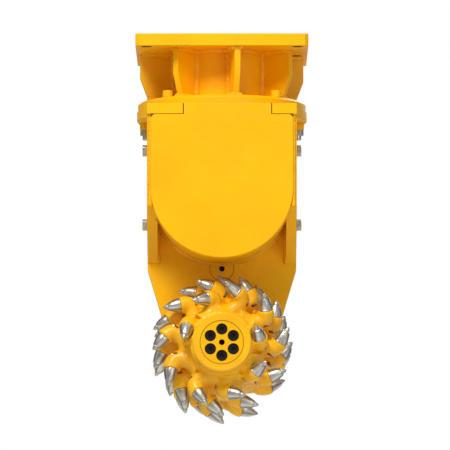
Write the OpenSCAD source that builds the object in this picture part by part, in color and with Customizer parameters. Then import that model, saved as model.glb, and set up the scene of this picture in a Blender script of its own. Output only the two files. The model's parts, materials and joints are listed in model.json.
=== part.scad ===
// Twin drum cutter for a small excavator, lengths in millimetres, angles in degrees.
// The origin is the centre of the mounting plate's upper face, with Z up and the drums' axis along Y.
// Near means towards -Y, far towards +Y, left -X and right +X.

/* [Mounting plate] */
// Length of the mounting plate, across the drums' axis
plate_len = 500; // [480:5:600]
// Width of the mounting plate, along the drums' axis
plate_w = 500; // [480:5:600]
// Thickness of the mounting plate
plate_t = 35; // [25:1:50]
// Bevel along the mounting plate's upright corners
plate_bevel = 10; // [4:1:25]
// Distance from the mounting plate's left and right edges to the mounting holes
mount_edge_x = 32; // [26:1:50]
// Distance from the mounting plate's near and far edges to the outer mounting holes
mount_edge_y = 32; // [26:1:50]
// Diameter of the mounting holes
mount_hole_d = 30; // [22:1:36]

/* [Adapter] */
// Outer diameter of the adapter's column
column_d = 292; // [240:2:330]
// Wall of the adapter's column
column_wall = 22; // [12:1:40]
// Height of the adapter's column, from the mounting plate to the flange
column_h = 141; // [120:1:220]
// Number of ribs round the column
rib_count = 8; // [6:1:8]
// Angle of the first rib from the near side
rib_start = 11; // [8:1:20]
// Thickness of a rib
rib_t = 18; // [10:1:24]
// Radius of a rib's outer edge under the mounting plate
rib_r_high = 242; // [225:1:246]
// Radius of a rib's outer edge at its foot
rib_r_low = 220; // [200:1:232]
// Diameter of the adapter's flange
flange_d = 490; // [476:2:560]
// Thickness of the adapter's flange
flange_t = 28; // [20:1:40]
// Distance from the flange's edge to the circle that its screws lie on
screw_edge = 23; // [20:1:26]
// Diameter of the flange's screws and studs
flange_screw_d = 20; // [16:2:24]

/* [Housing] */
// Diameter of the round flange on top of the housing
top_flange_d = 496; // [480:2:560]
// Thickness of the housing's top plate
top_plate_t = 31; // [24:1:40]
// Width of the housing, across the drums' axis
housing_w = 432; // [420:2:440]
// Thickness of the housing's left and right walls
wall_t = 30; // [20:1:36]
// Length of the motor chambers along the drums' axis, from the gearbox to the shield
chamber_len = 188; // [170:2:230]
// Outer radius of the rounded bottom of a motor chamber
chamber_r = 206; // [198:1:208]
// Thickness of the rounded wall of a motor chamber
chamber_wall_t = 16; // [10:1:24]
// Drop from the top plate to the centre of the chambers' rounded bottoms
chamber_drop = 210; // [180:2:240]
// Thickness of a shield
shield_t = 12; // [8:1:20]
// Length of a corner tab of the top plate
tab_len = 105; // [60:5:120]

/* [Gearbox] */
// Outer width of the gearbox, along the drums' axis
gearbox_w = 124; // [116:2:140]
// Thickness of a gearbox side plate
side_plate_t = 16; // [12:1:20]
// Thickness of the gearbox's rim
rim_t = 20; // [12:1:22]
// Outer radius of the gearbox's rounded bottom
gearbox_r = 140; // [138:1:150]
// Thickness of a wear plate on the gearbox
wear_t = 4; // [2:1:5]
// Radius of a wear plate round the drums' axis
wear_r = 234; // [200:2:240]
// Half width of a wear plate's neck round the idler's shaft
neck_half_w = 58; // [45:1:70]
// Drop of the motor's axis below the centre of the chambers' rounded bottoms
motor_drop = 21; // [0:1:30]

/* [Gears] */
// Module of the gears
gear_module = 8; // [7.5:0.1:8]
// Number of teeth on the drum's gear
drum_teeth = 26; // [26]
// Number of teeth on the idler
idler_teeth = 32; // [32]
// Number of teeth on the motor's pinion
pinion_teeth = 18; // [18]
// Face width of the gears
gear_w = 56; // [40:2:64]
// Backlash of the gears, measured along the pitch circle
backlash = 0.6; // [0.4:0.1:1]

/* [Drums] */
// Distance from the middle of the cutter to the nose of a drum
drum_nose = 300; // [290:2:330]
// Distance from the middle of the cutter to the inner rim of a drum
drum_rim = 70; // [70:1:76]
// Outer radius of a drum's body
drum_r = 132; // [130:1:134]
// Wall of a drum's body
drum_wall = 16; // [12:1:16]
// Radius of a drum's nose
nose_r = 85; // [80:1:92]
// Radius of a hub's cap
cap_r = 62.5; // [60:0.5:68]
// Radius of the circle that the hub's screws lie on
hub_screw_circle_r = 38; // [36:1:40]
// Diameter of the hub's screws
hub_screw_d = 20; // [16:1:20]
// Radius of the drum's shaft in the hubs
shaft_r = 55; // [53:0.5:56]

/* [Picks] */
// Radius of the circle that the picks' tips sweep
sweep_r = 204; // [200:1:212]
// Length of a pick outside its holder
pick_len = 50; // [46:1:56]
// Radius of a pick's collar
pick_collar_r = 19; // [17:0.5:20]
// Radius of a pick's shank
pick_shank_r = 10; // [8:0.5:12]
// Length of the socket that holds a pick
socket_len = 40; // [36:1:41]
// Wall of a pick's socket
socket_wall = 12; // [9:1:14]

/* [Hidden] */

$fn = 64;
// Facets of the chambers' large rounds
chamber_fn = 180;
// Overrun of every cut
over = 1;
// Radial clearance of a seat between two pieces of one body
seat_gap = 0.05;
// Radial clearance of a shaft that turns in a hole
run_gap = 0.08;
// Clearance between pieces that turn past each other
free_gap = 0.3;
// Radial clearance round a screw in a through hole
screw_gap = 1;

paint = "#fdbe00";
zinc = "#a8a48e";
steel = "#b9bcc0";
dark_steel = "#5b5d60";
rubber = "#202020";

// Heights of the adapter and the housing
plate_low = -plate_t;
flange_top = plate_low - column_h;
flange_low = flange_top - flange_t;
top_plate_low = flange_low - top_plate_t;
chamber_z = top_plate_low - chamber_drop;

// Half sizes along the drums' axis
gearbox_half = gearbox_w / 2;
gear_space_half = gearbox_half - side_plate_t;
chamber_half = gearbox_half + chamber_len;
shield_face = chamber_half + shield_t;
wear_face = gearbox_half + wear_t;

// Axes of the gear train
motor_z = chamber_z - motor_drop;
pinion_r = gear_module * pinion_teeth / 2;
idler_r = gear_module * idler_teeth / 2;
drum_gear_r = gear_module * drum_teeth / 2;
idler_z = motor_z - pinion_r - idler_r;
drum_z = idler_z - idler_r - drum_gear_r;

// The mounting plate's holes, three in each row
mount_spacing_x = plate_len - 2 * mount_edge_x;
mount_spacing_y = plate_w - 2 * mount_edge_y;
mount_holes = [
    for (x = [-1, 1], y = [-1, 0, 1]) [x * mount_spacing_x / 2, y * mount_spacing_y / 2]
];

// The ribs
rib_straight = 73;
rib_foot = 10;
rib_overlap = 2;

// Edges of the round flanges
flange_bevel = 9;
flange_bevel_h = 7;
top_flange_bevel = 6;
flange_bore_r = column_d / 2 - column_wall;

// Radius of a round screw head, as a share of the screw's diameter
screw_head_share = 0.75;

// Cap screws at four places and studs at the left and the right
bolt_circle_r = flange_d / 2 - screw_edge;
cap_angles = [45, 135, 225, 315];
stud_angles = [0, 180];
cap_head_r = screw_head_share * flange_screw_d;
cap_head_h = flange_screw_d;
cap_socket_r = 9;
cap_socket_depth = 10;
stud_sleeve_r = 18;
stud_sleeve_h = 18;
stud_nut_r = 17;
stud_nut_h = 17;
stud_end = 13;

// The top plate's corner tabs
housing_half_w = housing_w / 2;
tab_relief = 8;
// The tab at the right end of each shield is shorter
short_tab_share = 0.69;
short_tab_len = short_tab_share * tab_len;

// The left and right walls
inner_half_w = housing_half_w - wall_t;
wall_straight_drop = 56;
wall_straight_low = chamber_z - wall_straight_drop;
wall_low = chamber_z - chamber_r;

// The gearbox covers and their bolts
cover_bolt_d = 20;
cover_bolt_drop = 79;
cover_bolt_high = top_plate_low - cover_bolt_drop;
cover_bolt_pitch = 218;
cover_margin = 24;
cover_half_w = 44;
cover_t = 12;
window_half_w = 26;
window_margin = 30;
gasket_t = 1.5;
cover_head_r = 17;
cover_head_h = 13;
cover_washer_r = 19;
cover_washer_t = 3;

// The shaft of the idler and what runs on it
idler_shaft_r = 25;
idler_cap_r = 35;
idler_cap_t = 12;
idler_cap_hole_r = 8;
idler_inner_race_t = 8;
idler_outer_race_t = 6;
thrust_washer_r = 38;
race_gap = 1;

// The drum's shaft, its bearings and their carriers
journal_step = 3;
gear_seat_step = 4;
bearing_height = 32;
bearing_w = 50;
bearing_ring_t = 15;
carrier_wall = 11;
carrier_screw_d = 8;
carrier_head_r = screw_head_share * carrier_screw_d;
carrier_head_gap = 0.5;
carrier_flange_rim = 2 * (carrier_head_r + carrier_head_gap);
carrier_flange_t = 10;
carrier_depth = 54;
carrier_lip_t = 6;
carrier_lip_gap = 8;
journal_r = shaft_r + journal_step;
gear_seat_r = journal_r + gear_seat_step;
carrier_bore_r = journal_r + bearing_height;
carrier_sleeve_r = carrier_bore_r + carrier_wall;
carrier_flange_r = carrier_sleeve_r + carrier_flange_rim;
carrier_lip_r = journal_r + carrier_lip_gap;
seal_w = 10;
gear_seat_half = gearbox_half + carrier_depth - carrier_lip_t - seal_w - bearing_w;
carrier_screw_len = 22;
carrier_screw_count = 8;
carrier_screw_circle_r = (carrier_sleeve_r + carrier_flange_r) / 2;
carrier_screw_head_h = 2;

// The hubs, their caps and screws
hub_carrier_gap = 12;
hub_wall = 22;
hub_cap_t = 24;
cap_recess = 2;
shaft_end_gap = 1;
drum_straight = 70;
nose_len = 50;
nose_edge = 4;
cavity_taper_ahead = 8;
nose_wall = 35;
hub_start = gearbox_half + carrier_depth + hub_carrier_gap;
hub_outer_r = shaft_r + hub_wall;
shaft_end = drum_nose - cap_recess - hub_cap_t;
taper_start = drum_rim + drum_straight;
taper_end = drum_nose - nose_len;
cavity_taper_start = taper_start - cavity_taper_ahead;
cavity_end = taper_end - nose_wall;
hub_head_r = screw_head_share * hub_screw_d;
hub_head_gap = 1.2;
counterbore_r = hub_head_r + hub_head_gap;
counterbore_depth = 18;
hub_head_h = 12;
hub_screw_len = 34;
hub_screw_count = 6;
hub_socket_r = 8;
hub_socket_depth = 7;
cap_centre_hole_r = 8.3;
key_w = 20;
key_depth = 6;
gear_key_len = 50;
hub_key_len = 110;

// The hydraulic motor
motor_r = 104;
motor_flange_r = 122;
motor_flange_t = 20;
motor_len = 130;
motor_cavity_r = 78;
motor_cavity_start = 32;
motor_cover_t = 22;
motor_shaft_r = 25;
rotor_r = 70;
rotor_gap = 5;
motor_screw_d = 12;
motor_screw_count = 6;
motor_screw_rim = 9;
motor_screw_circle_r = motor_flange_r - motor_screw_rim;
motor_screw_depth = 12;
motor_head_h = 12;
port_pitch = 60;
port_seat_r = 20;
port_h = 22;
port_thread_r = 14;
port_bore_r = 9;
port_ahead = 70;
port_y = -gearbox_half - motor_flange_t - port_ahead;
port_depth = 15;
retainer_r = 34;
retainer_t = 6;

// The oil plugs in the gearbox's slanting sides
plug_r = 14;
plug_share = 0.55;
plug_socket_r = 6;
plug_socket_depth = 8;

// Angles of the gear teeth
pressure_angle = 20;
flank_steps = 4;
addendum_share = 1;
dedendum_share = 1.25;

// Angles of the picks round the drums' axis, each arm from the nose to the housing
arm_a_angles = [
    156.6, 109.3, 74.4, 38.4, 2.7, -33, -70, -100, -133, -173, -205.5, -244, -278, -310, -344.6
];
arm_b_angles = [9.5, -38.5, -79.3, -116.1, -153.8, -187, -223.9, -260, -295.7, -331.5, -368];
// Seats of the picks, as shares of the radius that their tips sweep
arm_a_seat_shares = [
    0.54, 0.67, 0.76, 0.79, 0.82, 0.82, 0.84, 0.84, 0.84, 0.85, 0.84, 0.84, 0.85, 0.85, 0.84
];
arm_b_seat_shares = [0.53, 0.62, 0.7, 0.76, 0.8, 0.82, 0.82, 0.83, 0.85, 0.85, 0.84];
// Outward leads of the picks, and their tilts towards the nose
arm_a_leads = [-8, 10, 26, 32, 35, 35, 35, 35, 35, 35, 35, 35, 35, 35, 35];
arm_b_leads = [-8, 10, 24, 30, 34, 35, 35, 35, 35, 35, 35];
arm_a_tilts = [48, 38, 29, 24, 15, 12, 10, 8, 6, 4, 2, 0, 0, 0, 0];
arm_b_tilts = [50, 40, 31, 25, 16, 12, 8, 4, 0, 0, 0];
// The first and the last seat of the longer arm, along the drums' axis, and the other arm's start
first_pick_ahead = 44;
last_pick_margin = 3;
arm_first = drum_nose - first_pick_ahead;
arm_last = drum_rim + pick_shank_r + socket_wall + last_pick_margin;
arm_pitch = (arm_first - arm_last) / (len(arm_a_angles) - 1);
arm_b_ahead = 3;

pick_collar_h = 5;
pick_shoulder_h = 3;
pick_cone_share = 0.72;
pick_neck_r = 10.5;
pick_neck_chamfer = 2;
insert_seat_r = 6;
insert_seat_depth = 8;
insert_r = 8.4;
insert_rim_h = 3;
insert_point_r = 1.6;
insert_waist_r = 6.4;
insert_waist_h = 6;
retainer_ring_r = 12.5;
retainer_ring_t = 4;
shank_end = 1;
foot_sink = 12;
foot_h = 14;
foot_w = 40;
foot_back = 52;
foot_front = 8;
socket_fn = 12;
envelope_fn = 48;

// Shapes that several pieces share

// A rod along Y between two places
module rod_y(r, from, to) {
    translate([0, from, 0]) rotate([-90, 0, 0]) cylinder(r = r, h = to - from);
}

// A ring along Y between two places
module ring_y(r_out, r_in, from, to) {
    difference() {
        rod_y(r_out, from, to);
        rod_y(r_in, from - over, to + over);
    }
}

// An outline in the XZ plane, extruded along Y between two places
module slab_y(from, to) {
    translate([0, to, 0]) rotate([90, 0, 0]) linear_extrude(to - from) children();
}

// Its children on the near side and mirrored to the far side
module near_and_far() {
    children();
    mirror([0, 1, 0]) children();
}

// Its children at the drums' axis, the idler's axis or the motor's axis
module at_drum() {
    translate([0, 0, drum_z]) children();
}

module at_idler() {
    translate([0, 0, idler_z]) children();
}

module at_motor() {
    translate([0, 0, motor_z]) children();
}

// The near drum's own frame, with its nose towards the local +Z
module drum_frame() {
    at_drum() rotate([90, 0, 0]) children();
}

// Outline of the gearbox, drawn in by an inset, from its top down to its rounded bottom
function side_normal() =
    atan2(idler_z - drum_z, housing_half_w)
    - acos(gearbox_r / norm([housing_half_w, idler_z - drum_z]));

function side_corner_z(inset) =
    drum_z + (gearbox_r - inset - cos(side_normal()) * (housing_half_w - inset)) / sin(side_normal());

function gearbox_outline(inset, top) = concat(
    [[-housing_half_w + inset, top], [housing_half_w - inset, top]],
    [[housing_half_w - inset, side_corner_z(inset)]],
    [
        for (i = [0 : $fn / 2])
            let (a = side_normal() - i * (180 + 2 * side_normal()) / ($fn / 2))
            [(gearbox_r - inset) * cos(a), drum_z + (gearbox_r - inset) * sin(a)]
    ],
    [[-housing_half_w + inset, side_corner_z(inset)]]
);

// Involute gear outline with a tooth at the angle that phase gives
function involute(a) = tan(a) * 180 / PI - a;

function flank_angle(teeth, r) =
    let (pitch_r = gear_module * teeth / 2, base_r = pitch_r * cos(pressure_angle))
    90 / teeth - backlash / pitch_r * 45 / PI + involute(pressure_angle)
    - involute(acos(min(1, base_r / r)));

function tooth_points(teeth) =
    let (
        pitch_r = gear_module * teeth / 2,
        base_r = pitch_r * cos(pressure_angle),
        root_r = pitch_r - dedendum_share * gear_module,
        tip_r = pitch_r + addendum_share * gear_module,
        start_r = max(base_r, root_r)
    )
    concat(
        [[root_r, -flank_angle(teeth, start_r)]],
        [
            for (i = [0 : flank_steps])
                let (r = start_r + (tip_r - start_r) * i / flank_steps)
                [r, -flank_angle(teeth, r)]
        ],
        [
            for (i = [flank_steps : -1 : 0])
                let (r = start_r + (tip_r - start_r) * i / flank_steps)
                [r, flank_angle(teeth, r)]
        ],
        [[root_r, flank_angle(teeth, start_r)]]
    );

module gear_outline(teeth, phase) {
    polygon([
        for (k = [0 : teeth - 1], p = tooth_points(teeth))
            let (a = p[1] + phase + k * 360 / teeth)
            [p[0] * cos(a), p[0] * sin(a)]
    ]);
}

// A gear along Y with a bore
module gear_y(teeth, phase, bore_r) {
    difference() {
        slab_y(-gear_w / 2, gear_w / 2) gear_outline(teeth, phase);
        rod_y(bore_r, -gear_w / 2 - over, gear_w / 2 + over);
    }
}

// A screw with a round head and a six-sided socket, head upwards and its seat at zero
module socket_screw(shank_r, shank_len, head_r, head_h, socket_r, socket_depth) {
    difference() {
        union() {
            cylinder(r = head_r, h = head_h);
            translate([0, 0, -shank_len]) cylinder(r = shank_r, h = shank_len);
        }
        translate([0, 0, head_h - socket_depth])
            cylinder(r = socket_r, h = socket_depth + over, $fn = 6);
    }
}

// The flange's screw circle, at the angles that a list gives
module on_bolt_circle(angles) {
    for (a = angles) rotate([0, 0, a]) translate([bolt_circle_r, 0, 0]) children();
}

module flange_holes(from, to, angles, r) {
    on_bolt_circle(angles) translate([0, 0, from]) cylinder(r = r, h = to - from);
}

// The adapter

module mounting_plate() {
    half_l = plate_len / 2;
    half_w = plate_w / 2;
    color(paint) difference() {
        translate([0, 0, plate_low]) linear_extrude(plate_t) polygon([
            [-half_l + plate_bevel, -half_w], [half_l - plate_bevel, -half_w],
            [half_l, -half_w + plate_bevel], [half_l, half_w - plate_bevel],
            [half_l - plate_bevel, half_w], [-half_l + plate_bevel, half_w],
            [-half_l, half_w - plate_bevel], [-half_l, -half_w + plate_bevel]
        ]);
        for (p = mount_holes)
            translate([p[0], p[1], plate_low - over])
                cylinder(d = mount_hole_d, h = plate_t + 2 * over);
    }
}

module adapter_column() {
    color(paint) translate([0, 0, flange_top]) difference() {
        cylinder(d = column_d, h = column_h);
        translate([0, 0, -over]) cylinder(d = column_d - 2 * column_wall, h = column_h + 2 * over);
    }
}

// One rib in the XZ plane, cut to the round of the column
module rib() {
    difference() {
        translate([0, rib_t / 2, 0]) rotate([90, 0, 0]) linear_extrude(rib_t) polygon([
            [column_d / 2 - rib_overlap, plate_low],
            [rib_r_high, plate_low],
            [rib_r_high, plate_low - rib_straight],
            [rib_r_low, flange_top + rib_foot],
            [rib_r_low, flange_top],
            [column_d / 2 - rib_overlap, flange_top]
        ]);
        translate([0, 0, flange_top - over])
            cylinder(r = column_d / 2 + seat_gap, h = column_h + 2 * over);
    }
}

module adapter_ribs() {
    color(paint) for (k = [0 : rib_count - 1])
        rotate([0, 0, -90 + rib_start + k * 360 / rib_count]) rib();
}

module adapter_flange() {
    color(paint) difference() {
        translate([0, 0, flange_low]) rotate_extrude() polygon([
            [flange_bore_r, 0], [flange_d / 2, 0],
            [flange_d / 2, flange_t - flange_bevel_h],
            [flange_d / 2 - flange_bevel, flange_t], [flange_bore_r, flange_t]
        ]);
        flange_holes(flange_low - over, flange_top + over, concat(cap_angles, stud_angles),
            flange_screw_d / 2 + seat_gap);
    }
}

module flange_cap_screws() {
    color(paint) on_bolt_circle(cap_angles) translate([0, 0, flange_top])
        socket_screw(flange_screw_d / 2, flange_t + top_plate_t, cap_head_r, cap_head_h,
            cap_socket_r, cap_socket_depth);
}

module flange_studs() {
    length = flange_t + top_plate_t + stud_sleeve_h + stud_nut_h + stud_end;
    color(zinc) on_bolt_circle(stud_angles) translate([0, 0, flange_top - length])
        cylinder(d = flange_screw_d, h = length);
}

module stud_sleeves() {
    color(paint) on_bolt_circle(stud_angles)
        translate([0, 0, top_plate_low - stud_sleeve_h]) difference() {
            cylinder(r = stud_sleeve_r, h = stud_sleeve_h);
            translate([0, 0, -over])
                cylinder(r = flange_screw_d / 2 + seat_gap, h = stud_sleeve_h + 2 * over);
        }
}

module stud_nuts() {
    color(zinc) on_bolt_circle(stud_angles)
        translate([0, 0, top_plate_low - stud_sleeve_h - stud_nut_h]) difference() {
            cylinder(r = stud_nut_r, h = stud_nut_h, $fn = 6);
            translate([0, 0, -over])
                cylinder(r = flange_screw_d / 2 + seat_gap, h = stud_nut_h + 2 * over);
        }
}

// The housing

// The corner tabs run out over the chambers and lie flush with the shields
module housing_top_plate() {
    color(paint) difference() {
        translate([0, 0, top_plate_low]) union() {
            rotate_extrude() polygon([
                [0, 0], [top_flange_d / 2 - top_flange_bevel, 0],
                [top_flange_d / 2, top_flange_bevel],
                [top_flange_d / 2, top_plate_t], [0, top_plate_t]
            ]);
            translate([-housing_half_w, -chamber_half, 0])
                cube([housing_w, 2 * chamber_half, top_plate_t]);
            translate([-housing_half_w, -shield_face, 0])
                cube([tab_len, 2 * shield_face, top_plate_t]);
            translate([housing_half_w - short_tab_len, -shield_face, 0])
                cube([short_tab_len, 2 * shield_face, top_plate_t]);
        }
        flange_holes(top_plate_low - over, flange_low + over, concat(cap_angles, stud_angles),
            flange_screw_d / 2 + seat_gap);
    }
}

// Inspection window, cover seat and bolt holes of a wall, cut from its outer face
module cover_cuts() {
    high = cover_bolt_high + cover_margin;
    low = cover_bolt_high - cover_bolt_pitch - cover_margin;
    translate([housing_half_w - cover_t - gasket_t, -cover_half_w - free_gap, low - free_gap])
        cube([cover_t + gasket_t + over, 2 * (cover_half_w + free_gap), high - low + 2 * free_gap]);
    translate([inner_half_w - over, -window_half_w, low + cover_margin + window_margin])
        cube([wall_t, 2 * window_half_w, cover_bolt_pitch - 2 * window_margin]);
    for (z = cover_bolt_heights())
        translate([inner_half_w - over, 0, z]) rotate([0, 90, 0])
            cylinder(r = cover_bolt_d / 2 + seat_gap, h = wall_t + 2 * over);
}

function cover_bolt_heights() = [cover_bolt_high, cover_bolt_high - cover_bolt_pitch];

// The pocket beside a stud's sleeve and nut
module stud_pocket() {
    depth = stud_sleeve_h + stud_nut_h + stud_end + free_gap;
    translate([bolt_circle_r - stud_sleeve_r - free_gap, -stud_sleeve_r - free_gap,
        top_plate_low - depth])
        cube([housing_half_w, 2 * (stud_sleeve_r + free_gap), depth + over]);
}

// The right wall; its lower part narrows from the chambers to the gearbox
module right_wall_body() {
    difference() {
        translate([inner_half_w, 0, 0]) rotate([90, 0, 90]) linear_extrude(wall_t) polygon([
            [-chamber_half, top_plate_low], [chamber_half, top_plate_low],
            [chamber_half, wall_straight_low], [gearbox_half, wall_low],
            [-gearbox_half, wall_low], [-chamber_half, wall_straight_low]
        ]);
        cover_cuts();
        stud_pocket();
    }
}

module left_housing_wall() {
    color(paint) mirror([1, 0, 0]) right_wall_body();
}

module right_housing_wall() {
    color(paint) right_wall_body();
}

// Holes of the near side plate: bearing carrier, idler shaft and its cap, motor shaft
module side_plate_cuts() {
    at_drum() rod_y(carrier_sleeve_r + seat_gap, -gearbox_half - over, -gear_space_half + over);
    at_idler() {
        rod_y(idler_shaft_r + seat_gap, -gearbox_half - over, -gear_space_half + over);
        rod_y(idler_cap_r + seat_gap, -gearbox_half - over, idler_cap_t - wear_face);
    }
}

module side_plate_outline() {
    polygon(gearbox_outline(0, wall_low));
    translate([-inner_half_w, wall_low - over])
        square([2 * inner_half_w, top_plate_low - wall_low + over]);
}

module carrier_screw_holes(r) {
    for (k = [0 : carrier_screw_count - 1])
        rotate([0, (k + 1 / 2) * 360 / carrier_screw_count, 0])
            translate([carrier_screw_circle_r, 0, 0])
                rod_y(r, carrier_flange_t - wear_face - carrier_screw_len, -gear_space_half - over);
}

module near_plate_body() {
    difference() {
        slab_y(-gearbox_half, -gear_space_half) side_plate_outline();
        side_plate_cuts();
        at_drum() carrier_screw_holes(carrier_screw_d / 2 + seat_gap);
    }
}

module near_side_plate() {
    color(paint) difference() {
        near_plate_body();
        at_motor() {
            rod_y(pinion_r + gear_module + free_gap, -gearbox_half - over, -gear_space_half + over);
            for (k = [0 : motor_screw_count - 1])
                rotate([0, (k + 1 / 2) * 360 / motor_screw_count, 0])
                    translate([motor_screw_circle_r, 0, 0])
                        rod_y(motor_screw_d / 2 + seat_gap, -gearbox_half - over,
                            motor_screw_depth - gearbox_half);
        }
    }
}

module far_side_plate() {
    color(paint) mirror([0, 1, 0]) near_plate_body();
}

// The wear plate lies round the drum's bearing and runs up to the idler's cap
module wear_plate_body() {
    difference() {
        slab_y(-wear_face, -gearbox_half) intersection() {
            polygon(gearbox_outline(0, wall_low));
            union() {
                translate([0, drum_z]) circle(r = wear_r);
                translate([-neck_half_w, drum_z]) square([2 * neck_half_w, wall_low - drum_z]);
            }
        }
        at_drum() {
            rod_y(carrier_sleeve_r + seat_gap, -wear_face - over, -gearbox_half + over);
            carrier_screw_holes(carrier_screw_d / 2 + seat_gap);
        }
        at_idler() rod_y(idler_cap_r + seat_gap, -wear_face - over, -gearbox_half + over);
    }
}

module near_wear_plate() {
    color(paint) wear_plate_body();
}

module far_wear_plate() {
    color(paint) mirror([0, 1, 0]) wear_plate_body();
}

// A plug's place halfway down the slanting sides of the gearbox
module at_plug() {
    at_share = gearbox_r * sin(side_normal()) * plug_share;
    translate([gearbox_r * cos(side_normal()), 0, drum_z + gearbox_r * sin(side_normal())])
        rotate([0, -side_normal(), 0]) translate([0, 0, -at_share]) children();
}

module gearbox_rim() {
    color(paint) difference() {
        slab_y(-gear_space_half, gear_space_half) difference() {
            polygon(gearbox_outline(0, wall_low));
            polygon(gearbox_outline(rim_t, wall_low + over));
        }
        for (side = [0, 1]) mirror([side, 0, 0]) at_plug() rotate([0, -90, 0])
            translate([0, 0, -over]) cylinder(r = plug_r + seat_gap, h = rim_t + 2 * over);
    }
}

module oil_plugs() {
    color(zinc) for (side = [0, 1]) mirror([side, 0, 0]) at_plug() rotate([0, -90, 0])
        difference() {
            cylinder(r = plug_r, h = rim_t);
            translate([0, 0, -over])
                cylinder(r = plug_socket_r, h = plug_socket_depth + over, $fn = 6);
        }
}

// The rounded wall of a motor chamber, between the left and right walls
module chamber_wall_body() {
    difference() {
        intersection() {
            translate([0, 0, chamber_z])
                ring_y(chamber_r, chamber_r - chamber_wall_t, -chamber_half, -gearbox_half,
                    $fn = chamber_fn);
            translate([-inner_half_w, -chamber_half - over, chamber_z - chamber_r - over])
                cube([2 * inner_half_w, chamber_len + 2 * over, chamber_r + over]);
        }
        translate([-neck_half_w, -wear_face, wall_low - over])
            cube([2 * neck_half_w, wear_t + over, chamber_wall_t + over]);
        at_idler() rod_y(idler_cap_r + seat_gap, -wear_face, over - gearbox_half);
    }
}

module near_chamber_wall() {
    color(paint) chamber_wall_body();
}

module far_chamber_wall() {
    color(paint) mirror([0, 1, 0]) chamber_wall_body();
}

// The space that a corner tab takes from the top right corner of a shield
module tab_cut(length) {
    slab_y(-shield_face - over, -chamber_half + over) polygon([
        [housing_half_w - length, flange_low + over],
        [housing_half_w - length, top_plate_low],
        [chamber_r - tab_relief, top_plate_low],
        [chamber_r, top_plate_low - tab_relief],
        [housing_half_w, top_plate_low - tab_relief],
        [housing_half_w, flange_low + over]
    ]);
}

// A shield closes its chamber; its top corners are cut out round the tabs and the round flange
module shield_body() {
    difference() {
        slab_y(-shield_face, -chamber_half) polygon(concat(
            [[chamber_r, flange_low], [-chamber_r, flange_low]],
            [
                for (i = [0 : $fn])
                    let (a = 180 + i * 180 / $fn)
                    [chamber_r * cos(a), chamber_z + chamber_r * sin(a)]
            ]
        ));
        mirror([1, 0, 0]) tab_cut(tab_len);
        tab_cut(short_tab_len);
        translate([0, 0, top_plate_low - seat_gap])
            cylinder(d = top_flange_d + 2 * seat_gap, h = top_plate_t + seat_gap + over);
    }
}

module near_shield() {
    color(paint) shield_body();
}

module far_shield() {
    color(paint) mirror([0, 1, 0]) shield_body();
}

// The gearbox covers, their gaskets, bolts and washers

module cover_blank(from, to) {
    high = cover_bolt_high + cover_margin;
    low = cover_bolt_high - cover_bolt_pitch - cover_margin;
    difference() {
        translate([from, -cover_half_w, low]) cube([to - from, 2 * cover_half_w, high - low]);
        for (z = cover_bolt_heights())
            translate([from - over, 0, z]) rotate([0, 90, 0])
                cylinder(r = cover_bolt_d / 2 + screw_gap, h = to - from + 2 * over);
    }
}

module left_gearbox_cover() {
    color(paint) mirror([1, 0, 0]) cover_blank(housing_half_w - cover_t, housing_half_w);
}

module right_gearbox_cover() {
    color(paint) cover_blank(housing_half_w - cover_t, housing_half_w);
}

module cover_gaskets() {
    color(rubber) for (side = [0, 1]) mirror([side, 0, 0]) difference() {
        cover_blank(housing_half_w - cover_t - gasket_t, housing_half_w - cover_t);
        translate([inner_half_w, -window_half_w,
            cover_bolt_high - cover_bolt_pitch + window_margin])
            cube([wall_t, 2 * window_half_w, cover_bolt_pitch - 2 * window_margin]);
    }
}

// Its children at each cover bolt, with the local Z outwards from the housing
module at_cover_bolts() {
    for (side = [0, 1], z = cover_bolt_heights())
        mirror([side, 0, 0]) translate([housing_half_w, 0, z]) rotate([0, 90, 0]) children();
}

module cover_bolts() {
    color(zinc) at_cover_bolts() {
        translate([0, 0, cover_washer_t]) cylinder(r = cover_head_r, h = cover_head_h, $fn = 6);
        translate([0, 0, -wall_t]) cylinder(r = cover_bolt_d / 2, h = wall_t + cover_washer_t + over);
    }
}

module cover_washers() {
    color(zinc) at_cover_bolts() difference() {
        cylinder(r = cover_washer_r, h = cover_washer_t);
        translate([0, 0, -over])
            cylinder(r = cover_bolt_d / 2 + seat_gap, h = cover_washer_t + 2 * over);
    }
}

// The idler's shaft, caps, races and washers

module idler_shaft() {
    half = wear_face - idler_cap_t;
    color(steel) at_idler() rod_y(idler_shaft_r, -half, half);
}

module idler_caps() {
    color(paint) near_and_far() at_idler()
        ring_y(idler_cap_r, idler_cap_hole_r, -wear_face, idler_cap_t - wear_face);
}

module idler_inner_races() {
    color(steel) near_and_far() at_idler()
        ring_y(idler_shaft_r + idler_inner_race_t, idler_shaft_r + seat_gap, -gear_w / 2, -race_gap);
}

module idler_outer_races() {
    inner_r = idler_shaft_r + idler_inner_race_t + free_gap;
    color(steel) near_and_far() at_idler()
        ring_y(inner_r + idler_outer_race_t, inner_r, -gear_w / 2, -race_gap);
}

module idler_thrust_washers() {
    color(dark_steel) near_and_far() at_idler()
        ring_y(thrust_washer_r, idler_shaft_r + seat_gap, -gear_space_half, -gear_w / 2 - free_gap);
}

module idler_gear() {
    bore_r = idler_shaft_r + idler_inner_race_t + free_gap + idler_outer_race_t + seat_gap;
    color(dark_steel) at_idler() gear_y(idler_teeth, 90 + 180 / idler_teeth, bore_r);
}

// The drum's bearings, carriers and seals

// A carrier is a sleeve with a flange outside the wear plate and a lip round the seal
module carrier_body() {
    end = -gearbox_half - carrier_depth;
    at_drum() difference() {
        union() {
            ring_y(carrier_sleeve_r, carrier_bore_r, end, -gear_space_half);
            ring_y(carrier_flange_r, carrier_bore_r, -wear_face - carrier_flange_t, -wear_face);
            ring_y(carrier_sleeve_r, carrier_lip_r, end, end + carrier_lip_t);
        }
        carrier_screw_holes(carrier_screw_d / 2 + seat_gap);
    }
}

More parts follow.
